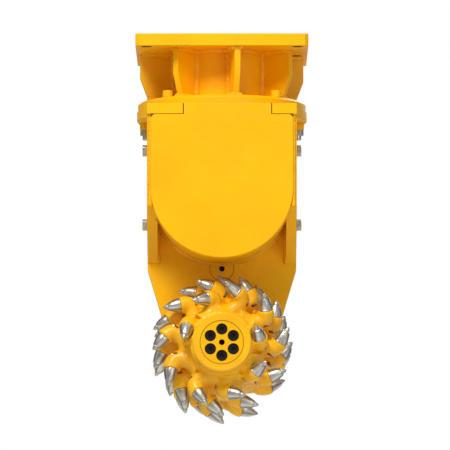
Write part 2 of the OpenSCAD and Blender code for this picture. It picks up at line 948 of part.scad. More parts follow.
module near_bearing_carrier() {
    color(dark_steel) carrier_body();
}

module far_bearing_carrier() {
    color(dark_steel) mirror([0, 1, 0]) carrier_body();
}

module carrier_screws() {
    face = wear_face + carrier_flange_t;
    color(zinc) near_and_far() at_drum() for (k = [0 : carrier_screw_count - 1])
        rotate([0, (k + 1 / 2) * 360 / carrier_screw_count, 0])
            translate([carrier_screw_circle_r, 0, 0]) {
                rod_y(carrier_screw_d / 2, -face, carrier_screw_len - face);
                rod_y(carrier_head_r, -face - carrier_screw_head_h, -face);
            }
}

// The bearings sit between the gear's shoulder and the seals
module bearing_ring(r_out, r_in) {
    end = -gearbox_half - carrier_depth + carrier_lip_t + seal_w;
    color(steel) near_and_far() at_drum() ring_y(r_out, r_in, end, end + bearing_w);
}

module bearing_outer_rings() {
    bearing_ring(carrier_bore_r - seat_gap, journal_r + bearing_ring_t + free_gap);
}

module bearing_inner_rings() {
    bearing_ring(journal_r + bearing_ring_t, journal_r + seat_gap);
}

module shaft_seals() {
    start = -gearbox_half - carrier_depth + carrier_lip_t;
    color(rubber) near_and_far() at_drum()
        ring_y(carrier_bore_r - seat_gap, journal_r + run_gap, start, start + seal_w);
}

// The hydraulic motor, in the near chamber

module at_motor_screws() {
    for (k = [0 : motor_screw_count - 1])
        rotate([0, (k + 1 / 2) * 360 / motor_screw_count, 0])
            translate([motor_screw_circle_r, 0, 0]) children();
}

module motor_casing() {
    seat = -gearbox_half;
    end = seat - motor_len;
    color(dark_steel) difference() {
        at_motor() union() {
            rod_y(motor_r, end, seat);
            rod_y(motor_flange_r, seat - motor_flange_t, seat);
        }
        at_motor() {
            rod_y(motor_cavity_r, end - over, seat - motor_cavity_start);
            rod_y(motor_shaft_r + run_gap, end - over, seat + over);
            at_motor_screws() rod_y(motor_screw_d / 2 + seat_gap,
                seat - motor_flange_t - over, seat + over);
        }
        at_ports() cylinder(r = port_thread_r + seat_gap, h = 2 * port_depth, center = true);
    }
}

module motor_end_cover() {
    seat = -gearbox_half - motor_len;
    color(dark_steel) at_motor() rod_y(motor_r, seat - motor_cover_t, seat);
}

module motor_screws() {
    seat = -gearbox_half - motor_flange_t;
    color(zinc) at_motor() at_motor_screws() {
        rod_y(motor_screw_d / 2, seat - over, motor_screw_depth - gearbox_half);
        rod_y(motor_screw_d * screw_head_share - free_gap, seat - motor_head_h, seat);
    }
}

// Its children at each port on top of the motor, with zero on the round of the casing
module at_ports() {
    for (side = [-1, 1])
        translate([side * port_pitch / 2, port_y,
            motor_z + sqrt(pow(motor_r, 2) - pow(port_pitch / 2 + port_seat_r, 2))])
            children();
}

module motor_ports() {
    color(zinc) difference() {
        at_ports() difference() {
            translate([0, 0, -port_depth]) cylinder(r = port_thread_r, h = port_depth + port_h);
            translate([0, 0, -port_depth - over])
                cylinder(r = port_bore_r, h = port_depth + port_h + 2 * over);
        }
        at_motor() rod_y(motor_cavity_r + over, port_y - 2 * port_seat_r, port_y + 2 * port_seat_r);
    }
}

// The motor's shaft with its rotor, the pinion and its retaining plate

module motor_rotor() {
    start = -gearbox_half - motor_len + rotor_gap;
    end = -gearbox_half - motor_cavity_start - rotor_gap;
    color(steel) at_motor() union() {
        rod_y(motor_shaft_r, start, gear_w / 2);
        rod_y(rotor_r, start, end);
    }
}

module pinion() {
    color(dark_steel) at_motor() gear_y(pinion_teeth, 90, motor_shaft_r + seat_gap);
}

module pinion_retainer() {
    color(zinc) at_motor() rod_y(retainer_r, gear_w / 2, gear_w / 2 + retainer_t);
}

// The drum's shaft and what turns with it

// A key's box, near the shaft's top, with its length centred along Y
module key_box(seat_r, length, gap) {
    translate([-key_w / 2 - gap, -length / 2 - gap, seat_r - key_depth - gap])
        cube([key_w + 2 * gap, length + 2 * gap, 2 * (key_depth + gap)]);
}

module hub_key(gap) {
    translate([0, -(hub_start + shaft_end) / 2, 0]) key_box(shaft_r, hub_key_len, gap);
}

module drum_shaft() {
    color(steel) at_drum() difference() {
        union() {
            rod_y(gear_seat_r, -gear_seat_half, gear_seat_half);
            rod_y(journal_r, -hub_start, hub_start);
            rod_y(shaft_r, -shaft_end + shaft_end_gap, shaft_end - shaft_end_gap);
        }
        key_box(gear_seat_r, gear_key_len, 0);
        near_and_far() {
            hub_key(0);
            at_hub_screws() rod_y(hub_screw_d / 2 + seat_gap, -shaft_end - over,
                hub_screw_len - shaft_end);
        }
    }
}

module shaft_keys() {
    color(dark_steel) at_drum() {
        key_box(gear_seat_r, gear_key_len, 0);
        near_and_far() hub_key(0);
    }
}

module drum_gear() {
    color(dark_steel) difference() {
        at_drum() gear_y(drum_teeth, 90, gear_seat_r + seat_gap);
        at_drum() key_box(gear_seat_r, gear_w + 2 * over, seat_gap);
    }
}

// A drum's shell: nose, hub and outer tube, open towards the gearbox
module drum_shell_body() {
    drum_frame() rotate_extrude() polygon([
        [shaft_r + seat_gap, hub_start],
        [shaft_r + seat_gap, shaft_end],
        [cap_r + seat_gap, shaft_end],
        [cap_r + seat_gap, drum_nose - cap_recess],
        [nose_r - nose_edge, drum_nose],
        [nose_r, drum_nose - nose_edge],
        [nose_r, taper_end],
        [drum_r, taper_start],
        [drum_r, drum_rim + nose_edge],
        [drum_r - nose_edge, drum_rim],
        [drum_r - drum_wall, drum_rim],
        [drum_r - drum_wall, cavity_taper_start],
        [hub_outer_r, cavity_end],
        [hub_outer_r, hub_start]
    ]);
}

module near_drum_shell() {
    color(paint) difference() {
        drum_shell_body();
        at_drum() hub_key(seat_gap);
    }
}

module far_drum_shell() {
    color(paint) mirror([0, 1, 0]) difference() {
        drum_shell_body();
        at_drum() hub_key(seat_gap);
    }
}

module at_hub_screws() {
    for (k = [0 : hub_screw_count - 1])
        rotate([0, k * 360 / hub_screw_count, 0]) translate([0, 0, hub_screw_circle_r]) children();
}

module hub_caps() {
    face = drum_nose - cap_recess;
    color(paint) near_and_far() at_drum() difference() {
        rod_y(cap_r, -face, -shaft_end);
        rod_y(cap_centre_hole_r, -face - over, -shaft_end + over);
        at_hub_screws() {
            rod_y(counterbore_r, -face - over, counterbore_depth - face);
            rod_y(hub_screw_d / 2 + seat_gap, -face - over, -shaft_end + over);
        }
    }
}

module hub_screws() {
    seat = counterbore_depth - drum_nose + cap_recess;
    color(dark_steel) near_and_far() at_drum() at_hub_screws()
        translate([0, seat, 0]) rotate([90, 0, 0])
            socket_screw(hub_screw_d / 2, hub_screw_len - shaft_end - seat, hub_head_r, hub_head_h,
                hub_socket_r, hub_socket_depth);
}

// The picks and their holders, in the near drum's own frame

// Angle, seat, lead, tilt and distance from the middle of the cutter, for every pick of a drum
function all_picks() = concat(
    [
        for (k = [0 : len(arm_a_angles) - 1])
            [arm_a_angles[k], sweep_r * arm_a_seat_shares[k], arm_a_leads[k], arm_a_tilts[k],
                arm_first - k * arm_pitch]
    ],
    [
        for (k = [0 : len(arm_b_angles) - 1])
            [arm_b_angles[k], sweep_r * arm_b_seat_shares[k], arm_b_leads[k], arm_b_tilts[k],
                arm_first + arm_b_ahead - k * arm_pitch]
    ]
);

// Radius of the drum's body at a distance from the middle of the cutter
function body_r(height) =
    drum_r - (drum_r - nose_r) * max(0, min(1, (height - taper_start) / (taper_end - taper_start)));

// Its children along one pick's axis, with zero on the holder's face and +Z out of it
module along_pick(pick) {
    rotate([0, 0, pick[0]]) translate([pick[1], 0, pick[4]])
        rotate([0, 0, -pick[2]]) rotate([pick[3] - 90, 0, 0]) children();
}

module each_pick() {
    for (pick = all_picks()) along_pick(pick) children();
}

// A holder joins a pick's socket to a foot on the drum's body, behind the pick
module holder(pick) {
    height = pick[4] - socket_len / 2 * sin(pick[3]);
    hull() {
        along_pick(pick) translate([0, 0, -socket_len])
            cylinder(r = pick_shank_r + socket_wall, h = socket_len, $fn = socket_fn);
        rotate([0, 0, pick[0]])
            translate([body_r(height) - foot_sink, -foot_back, height - foot_w / 2])
                cube([foot_h, foot_back + foot_front, foot_w]);
    }
}

// The space that the drum's body, the picks and the gearbox take from the holders
module holder_cuts() {
    body_gap = drum_r * (1 / cos(180 / envelope_fn) - 1) + seat_gap;
    rotate_extrude($fn = envelope_fn) polygon([
        [0, 0],
        [drum_r + body_gap, 0],
        [drum_r + body_gap, taper_start],
        [nose_r + body_gap, taper_end],
        [nose_r + body_gap, drum_nose + foot_back],
        [0, drum_nose + foot_back]
    ]);
    each_pick() {
        translate([0, 0, -socket_len - over])
            cylinder(r = (pick_shank_r + seat_gap) / cos(180 / socket_fn), h = socket_len + 2 * over,
                $fn = socket_fn);
        translate([0, 0, -2 * socket_len])
            cylinder(r = retainer_ring_r + screw_gap, h = socket_len, $fn = socket_fn);
        cylinder(r = pick_collar_r + screw_gap, h = pick_len, $fn = socket_fn);
    }
}

// Every holder of the near drum, in the drum's own frame
module holder_set() {
    difference() {
        for (pick = all_picks()) holder(pick);
        holder_cuts();
    }
}

module near_pick_holders() {
    color(paint) drum_frame() holder_set();
}

module far_pick_holders() {
    color(paint) mirror([0, 1, 0]) drum_frame() holder_set();
}

// A pick's body with a pocket for its carbide point
module pick_body() {
    cone_top = pick_len * pick_cone_share;
    shank_low = -socket_len - retainer_ring_t - shank_end;
    rotate_extrude() polygon([
        [0, shank_low], [pick_shank_r, shank_low], [pick_shank_r, 0],
        [pick_collar_r, 0], [pick_collar_r, pick_collar_h],
        [pick_collar_r - pick_neck_chamfer, pick_collar_h + pick_shoulder_h],
        [pick_neck_r, cone_top - pick_neck_chamfer],
        [insert_r, cone_top],
        [insert_seat_r + seat_gap, cone_top],
        [insert_seat_r + seat_gap, cone_top - insert_seat_depth],
        [0, cone_top - insert_seat_depth]
    ]);
}

module pick_point() {
    cone_top = pick_len * pick_cone_share;
    rotate_extrude() polygon([
        [0, cone_top - insert_seat_depth],
        [insert_seat_r, cone_top - insert_seat_depth],
        [insert_seat_r, cone_top],
        [insert_r, cone_top],
        [insert_r, cone_top + insert_rim_h],
        [insert_waist_r, cone_top + insert_waist_h],
        [insert_point_r, pick_len - insert_point_r],
        [0, pick_len]
    ]);
}

module near_picks() {
    color(steel) drum_frame() each_pick() pick_body();
}

module far_picks() {
    color(steel) mirror([0, 1, 0]) drum_frame() each_pick() pick_body();
}

module near_pick_tips() {
    color(dark_steel) drum_frame() each_pick() pick_point();
}

module far_pick_tips() {
    color(dark_steel) mirror([0, 1, 0]) drum_frame() each_pick() pick_point();
}

// The spring rings that keep the picks in their sockets
module pick_retainers() {
    color(zinc) near_and_far() drum_frame() each_pick()
        translate([0, 0, -socket_len - retainer_ring_t]) difference() {
            cylinder(r = retainer_ring_r, h = retainer_ring_t);
            translate([0, 0, -over])
                cylinder(r = pick_shank_r + seat_gap, h = retainer_ring_t + 2 * over);
        }
}

mounting_plate();
adapter_column();
adapter_ribs();
adapter_flange();
flange_cap_screws();
flange_studs();
stud_sleeves();
stud_nuts();
housing_top_plate();
left_housing_wall();
right_housing_wall();
near_side_plate();
far_side_plate();
near_wear_plate();
far_wear_plate();
gearbox_rim();
near_chamber_wall();
far_chamber_wall();
near_shield();
far_shield();
left_gearbox_cover();
right_gearbox_cover();
cover_gaskets();
cover_bolts();
cover_washers();
oil_plugs();
idler_shaft();
idler_caps();
idler_inner_races();
idler_thrust_washers();
near_bearing_carrier();
far_bearing_carrier();
carrier_screws();
bearing_outer_rings();
shaft_seals();
motor_casing();
motor_end_cover();
motor_screws();
motor_ports();
motor_rotor();
pinion();
pinion_retainer();
idler_gear();
idler_outer_races();
drum_shaft();
drum_gear();
shaft_keys();
bearing_inner_rings();
near_drum_shell();
far_drum_shell();
near_pick_holders();
far_pick_holders();
near_picks();
far_picks();
near_pick_tips();
far_pick_tips();
pick_retainers();
hub_caps();
hub_screws();
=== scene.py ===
"""Looks of a twin drum cutter for a small excavator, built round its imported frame.

Lengths are in metres. Near means towards -Y, where the camera stands, and far towards +Y.
A drum's own frame has its axis on Z, the cutter's middle at zero and the nose towards +Z.
"""

import json
import logging
import math
from collections.abc import Sequence
from dataclasses import dataclass
from enum import Enum

import bmesh
import bpy
from mathutils import Matrix, Vector, noise


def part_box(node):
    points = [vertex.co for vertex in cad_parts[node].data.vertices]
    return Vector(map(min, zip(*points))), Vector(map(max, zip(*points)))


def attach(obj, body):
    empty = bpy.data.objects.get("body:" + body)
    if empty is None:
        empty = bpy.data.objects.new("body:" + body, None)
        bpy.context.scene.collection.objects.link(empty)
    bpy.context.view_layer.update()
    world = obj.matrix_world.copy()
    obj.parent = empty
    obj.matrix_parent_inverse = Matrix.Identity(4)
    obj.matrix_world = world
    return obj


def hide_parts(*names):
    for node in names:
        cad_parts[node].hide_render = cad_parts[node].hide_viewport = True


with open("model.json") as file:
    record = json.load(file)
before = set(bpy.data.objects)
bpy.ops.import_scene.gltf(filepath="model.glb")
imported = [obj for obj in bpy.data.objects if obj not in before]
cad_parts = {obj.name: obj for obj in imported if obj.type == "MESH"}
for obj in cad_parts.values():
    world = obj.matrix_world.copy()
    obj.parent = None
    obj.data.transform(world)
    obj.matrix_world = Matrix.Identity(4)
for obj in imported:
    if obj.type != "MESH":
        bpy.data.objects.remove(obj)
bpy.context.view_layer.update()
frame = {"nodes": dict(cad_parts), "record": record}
LOG = logging.getLogger("drum_cutter")
HOUSING, DRUMS = "housing", "drums"
DRUM_Z = -0.898
ALONG_Y, ALONG_Z = 1, 2
X, Y, Z = Vector((1, 0, 0)), Vector((0, 1, 0)), Vector((0, 0, 1))
FLOAT, COLOUR, VECTOR = "NodeSocketFloat", "NodeSocketColor", "NodeSocketVector"
GEOMETRY, COUNT = "NodeSocketGeometry", "NodeSocketInt"
Triple = tuple[float, float, float]


class Slot(Enum):
    """Material slots of the record."""

    PAINT = "yellow_paint"
    ZINC = "zinc_plated_steel"
    BRIGHT = "bright_steel"
    CARBIDE = "carbide"
    DARK = "dark_steel"
    IRON = "cast_iron"
    RUBBER = "black_rubber"


class Side(Enum):
    """The two drums, named after the side of the housing that they stand on."""

    NEAR = "near"
    FAR = "far"


class NodeTree:
    """A node tree that is filled step by step."""

    def __init__(self, tree: bpy.types.NodeTree) -> None:
        """Take the tree to fill."""
        self.tree = tree

    def add(
        self, kind: str, inputs: dict[str | int, object] | None = None, **settings: object
    ) -> bpy.types.Node:
        """Add a node.

        Args:
            kind: The node's type.
            inputs: Sockets to join or plain values, by the input's name or number.
            **settings: Attributes of the node.

        Returns:
            The new node.
        """
        node = self.tree.nodes.new(kind)
        for name, value in settings.items():
            setattr(node, name, value)
        for key, value in (inputs or {}).items():
            if isinstance(value, bpy.types.NodeSocket):
                self.join(value, node.inputs[key])
            else:
                node.inputs[key].default_value = value
        return node

    def join(self, source: bpy.types.NodeSocket, target: bpy.types.NodeSocket) -> None:
        """Link an output to an input."""
        self.tree.links.new(source, target)

    def math(self, operation: str, *values: object) -> bpy.types.NodeSocket:
        """Add a math node.

        Args:
            operation: The node's operation.
            *values: Sockets or plain numbers, in the order of the node's inputs.

        Returns:
            The node's output.
        """
        node = self.add("ShaderNodeMath", dict(enumerate(values)), operation=operation)
        return node.outputs[0]


class NodeGroup(NodeTree):
    """A node group with named sockets on its outside."""

    def __init__(
        self, name: str, kind: str, inputs: dict[str, str], outputs: dict[str, str]
    ) -> None:
        """Start the group.

        Args:
            name: The group's name.
            kind: The type of its tree.
            inputs: Socket types by input name.
            outputs: Socket types by output name.
        """
        super().__init__(bpy.data.node_groups.new(name, kind))
        for in_out, sockets in (("INPUT", inputs), ("OUTPUT", outputs)):
            for socket, socket_type in sockets.items():
                self.tree.interface.new_socket(
                    name=socket, in_out=in_out, socket_type=socket_type
                )
        self.given = self.add("NodeGroupInput").outputs
        self.result = self.add("NodeGroupOutput").inputs

    def end_in(self, geometry: bpy.types.NodeSocket, material: object) -> None:
        """End a geometry tree in Realize Instances and Set Material.

        Args:
            geometry: The socket with what the tree has made.
            material: The material, or the socket that brings it.
        """
        whole = self.add("GeometryNodeRealizeInstances", {"Geometry": geometry})
        dressed = self.add(
            "GeometryNodeSetMaterial", {"Geometry": whole.outputs[0], "Material": material}
        )
        self.join(dressed.outputs[0], self.result[0])

    def run_on(self, piece: bpy.types.Object, values: dict[str, object]) -> None:
        """Run a geometry tree on a piece and keep what it makes as the piece's plain mesh.

        Args:
            piece: The piece.
            values: The tree's inputs by name.
        """
        modifier = piece.modifiers.new(self.tree.name, "NODES")
        modifier.node_group = self.tree
        for item in self.tree.interface.items_tree:
            if item.name in values:
                modifier[item.identifier] = values[item.name]
        freeze(piece)


class EffectGroups:
    """Shader node groups that the finishes share."""

    DRIFT_SPAN = (0.35, 0.65)
    SMUDGE_SPAN = (0.3, 0.7)
    SMUDGE_TWIST = 0.6
    REFLECTION_SPAN = (0.42, 0.62)

    def __init__(self) -> None:
        """Build every group once."""
        self.drift = self.colour_drift()
        self.relief = self.surface_relief()
        self.smudge = self.smudges()
        self.streaks = self.painted_reflection_streaks()

    @staticmethod
    def start(name: str, inputs: dict[str, str], outputs: dict[str, str]) -> NodeGroup:
        """Start a shader group that reads coordinates.

        Args:
            name: The group's name.
            inputs: Socket types by input name, without the coordinates.
            outputs: Socket types by output name.

        Returns:
            The group, ready to be filled.
        """
        return NodeGroup(name, "ShaderNodeTree", {"Vector": VECTOR, **inputs}, outputs)

    @staticmethod
    def spread(
        group: NodeGroup, value: bpy.types.NodeSocket, span: tuple[float, float],
        **ends: bpy.types.NodeSocket,
    ) -> bpy.types.NodeSocket:
        """Spread the middle values of a noise over a whole range.

        Args:
            group: The group to add to.
            value: The noise.
            span: The values that become the range's ends.
            **ends: The range's ends, low and high, where they aren't 0 and 1.

        Returns:
            The spread noise.
        """
        inputs = {"Value": value, "From Min": span[0], "From Max": span[1]}
        if ends:
            inputs.update({"To Min": ends["low"], "To Max": ends["high"]})
        return group.add("ShaderNodeMapRange", inputs).outputs["Result"]

    def colour_drift(self) -> bpy.types.NodeTree:
        """Build a slow drift between two tones.

        Returns:
            A group with the inputs Vector, Tone A, Tone B and Scale, and the output Colour.
        """
        group = self.start(
            "colour_drift", {"Tone A": COLOUR, "Tone B": COLOUR, "Scale": FLOAT},
            {"Colour": COLOUR},
        )
        given = group.given
        clouds = group.add(
            "ShaderNodeTexNoise",
            {"Vector": given["Vector"], "Scale": given["Scale"], "Detail": 3},
        )
        share = self.spread(group, clouds.outputs["Fac"], self.DRIFT_SPAN)
        mix = group.add(
            "ShaderNodeMix", {"Factor": share, 6: given["Tone A"], 7: given["Tone B"]},
            data_type="RGBA",
        )
        group.join(mix.outputs[2], group.result["Colour"])
        return group.tree

    def surface_relief(self) -> bpy.types.NodeTree:
        """Build the relief of a sprayed or cast skin.

        Returns:
            A group with the inputs Vector, Coarse, Fine and Fine Share, and the output Height.
        """
        group = self.start(
            "surface_relief", {"Coarse": FLOAT, "Fine": FLOAT, "Fine Share": FLOAT},
            {"Height": FLOAT},
        )
        given = group.given
        coarse, fine = (
            group.add(
                "ShaderNodeTexNoise",
                {"Vector": given["Vector"], "Scale": given[scale], "Detail": 2},
            ).outputs["Fac"]
            for scale in ("Coarse", "Fine")
        )
        height = group.math("ADD", coarse, group.math("MULTIPLY", fine, given["Fine Share"]))
        group.join(height, group.result["Height"])
        return group.tree

    def smudges(self) -> bpy.types.NodeTree:
        """Build patches that break up a gloss.

        Returns:
            A group with the inputs Vector, Scale, Low and High, and the output Value.
        """
        group = self.start(
            "smudges", {"Scale": FLOAT, "Low": FLOAT, "High": FLOAT}, {"Value": FLOAT}
        )
        given = group.given
        patches = group.add(
            "ShaderNodeTexNoise",
            {"Vector": given["Vector"], "Scale": given["Scale"], "Detail": 5,
             "Distortion": self.SMUDGE_TWIST},
        )
        value = self.spread(
            group, patches.outputs["Fac"], self.SMUDGE_SPAN,
            low=given["Low"], high=given["High"],
        )
        group.join(value, group.result["Value"])
        return group.tree

    def painted_reflection_streaks(self) -> bpy.types.NodeTree:
        """Build painted reflections: darker streaks, drawn out along one coordinate.

        Returns:
            A group with the inputs Vector, Across and Along, and the output Mask.
        """
        group = self.start(
            "painted_reflection_streaks", {"Across": FLOAT, "Along": FLOAT}, {"Mask": FLOAT}
        )
        given = group.given
        shape = group.add(
            "ShaderNodeCombineXYZ",
            {"X": given["Across"], "Y": given["Along"], "Z": given["Across"]},
        )
        drawn = group.add(
            "ShaderNodeVectorMath", {0: given["Vector"], 1: shape.outputs[0]},
            operation="MULTIPLY",
        )
        lines = group.add(
            "ShaderNodeTexNoise", {"Vector": drawn.outputs[0], "Scale": 1, "Detail": 3}
        )
        mask = self.spread(group, lines.outputs["Fac"], self.REFLECTION_SPAN)
        group.join(mask, group.result["Mask"])
        return group.tree


@dataclass(frozen=True)
class Gloss:
    """Roughness that moves between two values in patches of one scale."""

    low: float
    high: float
    scale: float


@dataclass(frozen=True)
class Relief:
    """Coarse and fine bumps, the fine ones' share and the depth of both."""

    coarse: float
    fine: float
    fine_share: float
    depth: float


@dataclass(frozen=True)
class ReflectionStreaks:
    """Painted reflections: darker streaks that follow a piece's own UV map."""

    tone: Triple
    across: float
    along: float


@dataclass(frozen=True)
class Finish:
    """A finish of one material, whose two tones drift over the surface."""

    name: str
    tone_a: Triple
    tone_b: Triple
    drift_scale: float
    gloss: Gloss
    relief: Relief
    metallic: float = 0.0
    coat: float = 0.0
    coat_rough: float = 0.1
    specular: float = 0.5
    streaks: ReflectionStreaks | None = None

    def build(self, effects: EffectGroups) -> bpy.types.Material:
        """Make the material.

        Args:
            effects: The shared shader groups.

        Returns:
            The material.
        """
        material = bpy.data.materials.new(self.name)
        material.use_nodes = True
        material.node_tree.nodes.clear()
        tree = NodeTree(material.node_tree)
        place = tree.add("ShaderNodeTexCoord")
        gloss = tree.add(
            "ShaderNodeGroup",
            {"Vector": place.outputs["Object"], "Scale": self.gloss.scale,
             "Low": self.gloss.low, "High": self.gloss.high},
            node_tree=effects.smudge,
        )
        relief = tree.add(
            "ShaderNodeGroup",
            {"Vector": place.outputs["Object"], "Coarse": self.relief.coarse,
             "Fine": self.relief.fine, "Fine Share": self.relief.fine_share},
            node_tree=effects.relief,
        )
        bump = tree.add(
            "ShaderNodeBump",
            {"Distance": self.relief.depth, "Height": relief.outputs["Height"]},
        )
        shader = tree.add(
            "ShaderNodeBsdfPrincipled",
            {"Base Color": self.colour(tree, effects, place), "Metallic": self.metallic,
             "Roughness": gloss.outputs["Value"], "Normal": bump.outputs["Normal"],
             "Specular IOR Level": self.specular, "Coat Weight": self.coat,
             "Coat Roughness": self.coat_rough},
        )
        tree.add("ShaderNodeOutputMaterial", {"Surface": shader.outputs["BSDF"]})
        return material

    def colour(
        self, tree: NodeTree, effects: EffectGroups, place: bpy.types.Node
    ) -> bpy.types.NodeSocket:
        """Make the surface's colour, with painted reflection streaks where the finish has them.

        Args:
            tree: The material's tree.
            effects: The shared shader groups.
            place: The texture coordinate node.

        Returns:
            The socket that puts out the colour.
        """
        drift = tree.add(
            "ShaderNodeGroup",
            {"Vector": place.outputs["Object"], "Scale": self.drift_scale,
             "Tone A": (*self.tone_a, 1), "Tone B": (*self.tone_b, 1)},
            node_tree=effects.drift,
        ).outputs["Colour"]
        if self.streaks is None:
            return drift
        # Darker streaks mixed into the colour are painted reflections of dark surroundings in the
        # metal's facets.
        streaks = tree.add(
            "ShaderNodeGroup",
            {"Vector": place.outputs["UV"], "Across": self.streaks.across,
             "Along": self.streaks.along},
            node_tree=effects.streaks,
        )
        mix = tree.add(
            "ShaderNodeMix",
            {"Factor": streaks.outputs["Mask"], 6: drift, 7: (*self.streaks.tone, 1)},
            data_type="RGBA",
        )
        return mix.outputs[2]


class Palette:
    """Every finish of the cutter, by name."""

    FINISHES = (
        Finish(
            "yellow_paint", (1.0, 0.515, 0.0), (0.95, 0.465, 0.0), 5.0,
            Gloss(0.36, 0.52, 18.0), Relief(22.0, 260.0, 0.25, 0.0009),
            coat=0.04, coat_rough=0.2, specular=0.2,
        ),
        Finish(
            "cast_yellow", (1.0, 0.52, 0.0), (0.93, 0.44, 0.0), 9.0,
            Gloss(0.34, 0.5, 30.0), Relief(60.0, 240.0, 0.4, 0.0018),
            coat=0.22, coat_rough=0.14, specular=0.3,
        ),
        Finish(
            "zinc_plating", (0.62, 0.6, 0.47), (0.48, 0.45, 0.34), 40.0,
            Gloss(0.24, 0.42, 60.0), Relief(200.0, 700.0, 0.5, 0.0003),
            metallic=0.8,
        ),
        Finish(
            "turned_steel", (0.62, 0.62, 0.62), (0.5, 0.5, 0.5), 12.0,
            Gloss(0.22, 0.36, 40.0), Relief(300.0, 900.0, 0.5, 0.0002),
            metallic=1.0,
        ),
        # The picks' dark streaks are painted reflections.
        Finish(
            "pick_steel", (0.82, 0.79, 0.72), (0.66, 0.63, 0.56), 30.0,
            Gloss(0.24, 0.4, 60.0), Relief(200.0, 700.0, 0.5, 0.0004),
            metallic=0.85, streaks=ReflectionStreaks((0.22, 0.2, 0.16), 9.0, 8.0),
        ),
        Finish(
            "carbide", (0.6, 0.58, 0.52), (0.45, 0.43, 0.38), 60.0,
            Gloss(0.28, 0.45, 80.0), Relief(250.0, 800.0, 0.5, 0.0003),
            metallic=0.8,
        ),
        # Black oxide of the hub screws and the idler shaft, and painted shade in the caps' holes
        # and wells and on the centre plugs.
        Finish(
            "black_oxide_and_shade", (0.008, 0.007, 0.006), (0.014, 0.01, 0.008), 40.0,
            Gloss(0.5, 0.7, 60.0), Relief(300.0, 900.0, 0.5, 0.0002),
            specular=0.25,
        ),
        Finish(
            "gear_steel", (0.2, 0.2, 0.21), (0.14, 0.14, 0.15), 20.0,
            Gloss(0.3, 0.45, 50.0), Relief(200.0, 800.0, 0.5, 0.0003),
            metallic=0.9,
        ),
        Finish(
            "grey_iron", (0.1, 0.1, 0.1), (0.06, 0.06, 0.065), 16.0,
            Gloss(0.5, 0.7, 40.0), Relief(120.0, 500.0, 0.6, 0.0008),
            metallic=0.3,
        ),
        Finish(
            "seal_rubber", (0.012, 0.012, 0.012), (0.02, 0.02, 0.02), 30.0,
            Gloss(0.55, 0.75, 50.0), Relief(150.0, 600.0, 0.5, 0.0004),
            specular=0.35,
        ),
        Finish(
            "joint_shadow", (0.13, 0.055, 0.002), (0.08, 0.032, 0.0), 30.0,
            Gloss(0.6, 0.8, 50.0), Relief(150.0, 600.0, 0.5, 0.0002),
            specular=0.2,
        ),
    )
    SLOT_FINISH = {
        Slot.PAINT: "yellow_paint",
        Slot.ZINC: "zinc_plating",
        Slot.BRIGHT: "turned_steel",
        Slot.CARBIDE: "carbide",
        Slot.DARK: "gear_steel",
        Slot.IRON: "grey_iron",
        Slot.RUBBER: "seal_rubber",
    }

    def __init__(self) -> None:
        """Build the shared groups and every material."""
        effects = EffectGroups()
        self.materials = {f.name: f.build(effects) for f in self.FINISHES}
        subparts = frame["record"]["subparts"]
        self.slots = {s["node"]: Slot(s["material_slot"]) for s in subparts}

    def __getitem__(self, name: str) -> bpy.types.Material:
        """Return the material of that name."""
        return self.materials[name]

    def of_node(self, node: str) -> bpy.types.Material:
        """Return the material that a CAD node's slot asks for."""
        return self.materials[self.SLOT_FINISH[self.slots[node]]]


def new_object(name: str, mesh: bpy.types.Mesh) -> bpy.types.Object:
    """Put a mesh into the scene.

    Args:
        name: The piece's name.
        mesh: Its mesh.

    Returns:
        The new object, at the origin.
    """
    piece = bpy.data.objects.new(name, mesh)
    bpy.context.scene.collection.objects.link(piece)
    return piece


def mesh_from(bm: bmesh.types.BMesh, name: str) -> bpy.types.Mesh:
    """Turn a bmesh into a mesh and free it.

    Args:
        bm: The bmesh.
        name: The mesh's name.

    Returns:
        The new mesh.
    """
    mesh = bpy.data.meshes.new(name)
    bm.to_mesh(mesh)
    bm.free()
    return mesh


def shade(piece: bpy.types.Object, crease_deg: float) -> None:
    """Shade a piece smooth, with its creases kept sharp.

    Args:
        piece: A mesh object.
        crease_deg: The angle from which an edge stays sharp.
    """
    piece.data.shade_smooth()
    piece.data.set_sharp_from_angle(angle=math.radians(crease_deg))


def paint(piece: bpy.types.Object, *materials: bpy.types.Material) -> None:
    """Give a piece or a CAD node its materials.

    Args:
        piece: A mesh object.
        *materials: Its materials, in the order of its faces' material numbers.
    """
    piece.data.materials.clear()
    for material in materials:
        piece.data.materials.append(material)


def settle(piece: bpy.types.Object, body: str, slot: Slot, *nodes: str) -> None:
    """Let a finished piece ride on its body and stand for its CAD nodes.

    Args:
        piece: The piece.
        body: The CAD body that it moves with.
        slot: Its material slot in the record; not used.
        *nodes: The CAD nodes that it stands for, if any.
    """
    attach(piece, body)
    if nodes:
        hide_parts(*nodes)
    LOG.info("%s rides on %s", piece.name, body)


def freeze(piece: bpy.types.Object) -> None:
    """Replace a piece's mesh by its evaluated one and remove its modifiers.

    Args:
        piece: A mesh object.
    """
    evaluated = piece.evaluated_get(bpy.context.evaluated_depsgraph_get())
    old, new = piece.data, bpy.data.meshes.new_from_object(evaluated)
    piece.modifiers.clear()
    piece.data = new
    bpy.data.meshes.remove(old)


def paint_shade_in_bores(
    piece: bpy.types.Object, node: str, centres: Sequence[Vector], bore_r: float, axis: int,
    face_skin: float = 0.0004,
) -> None:
    """Paint shade inside a piece's bores with its second material, but not on its end faces.

    Args:
        piece: The piece, with two materials.
        node: The CAD node that it stands for.
        centres: Points on the bores' axes.
        bore_r: A radius just over that of the bores.
        axis: The axis that the bores follow, ALONG_Y or ALONG_Z.
        face_skin: The depth to which a face counts as an end face.
    """
    low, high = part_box(node)
    for polygon in piece.data.polygons:
        point = polygon.center
        if not low[axis] + face_skin < point[axis] < high[axis] - face_skin:
            continue
        for centre in centres:
            offset = point - centre
            offset[axis] = 0
            if offset.length < bore_r:
                polygon.material_index = 1


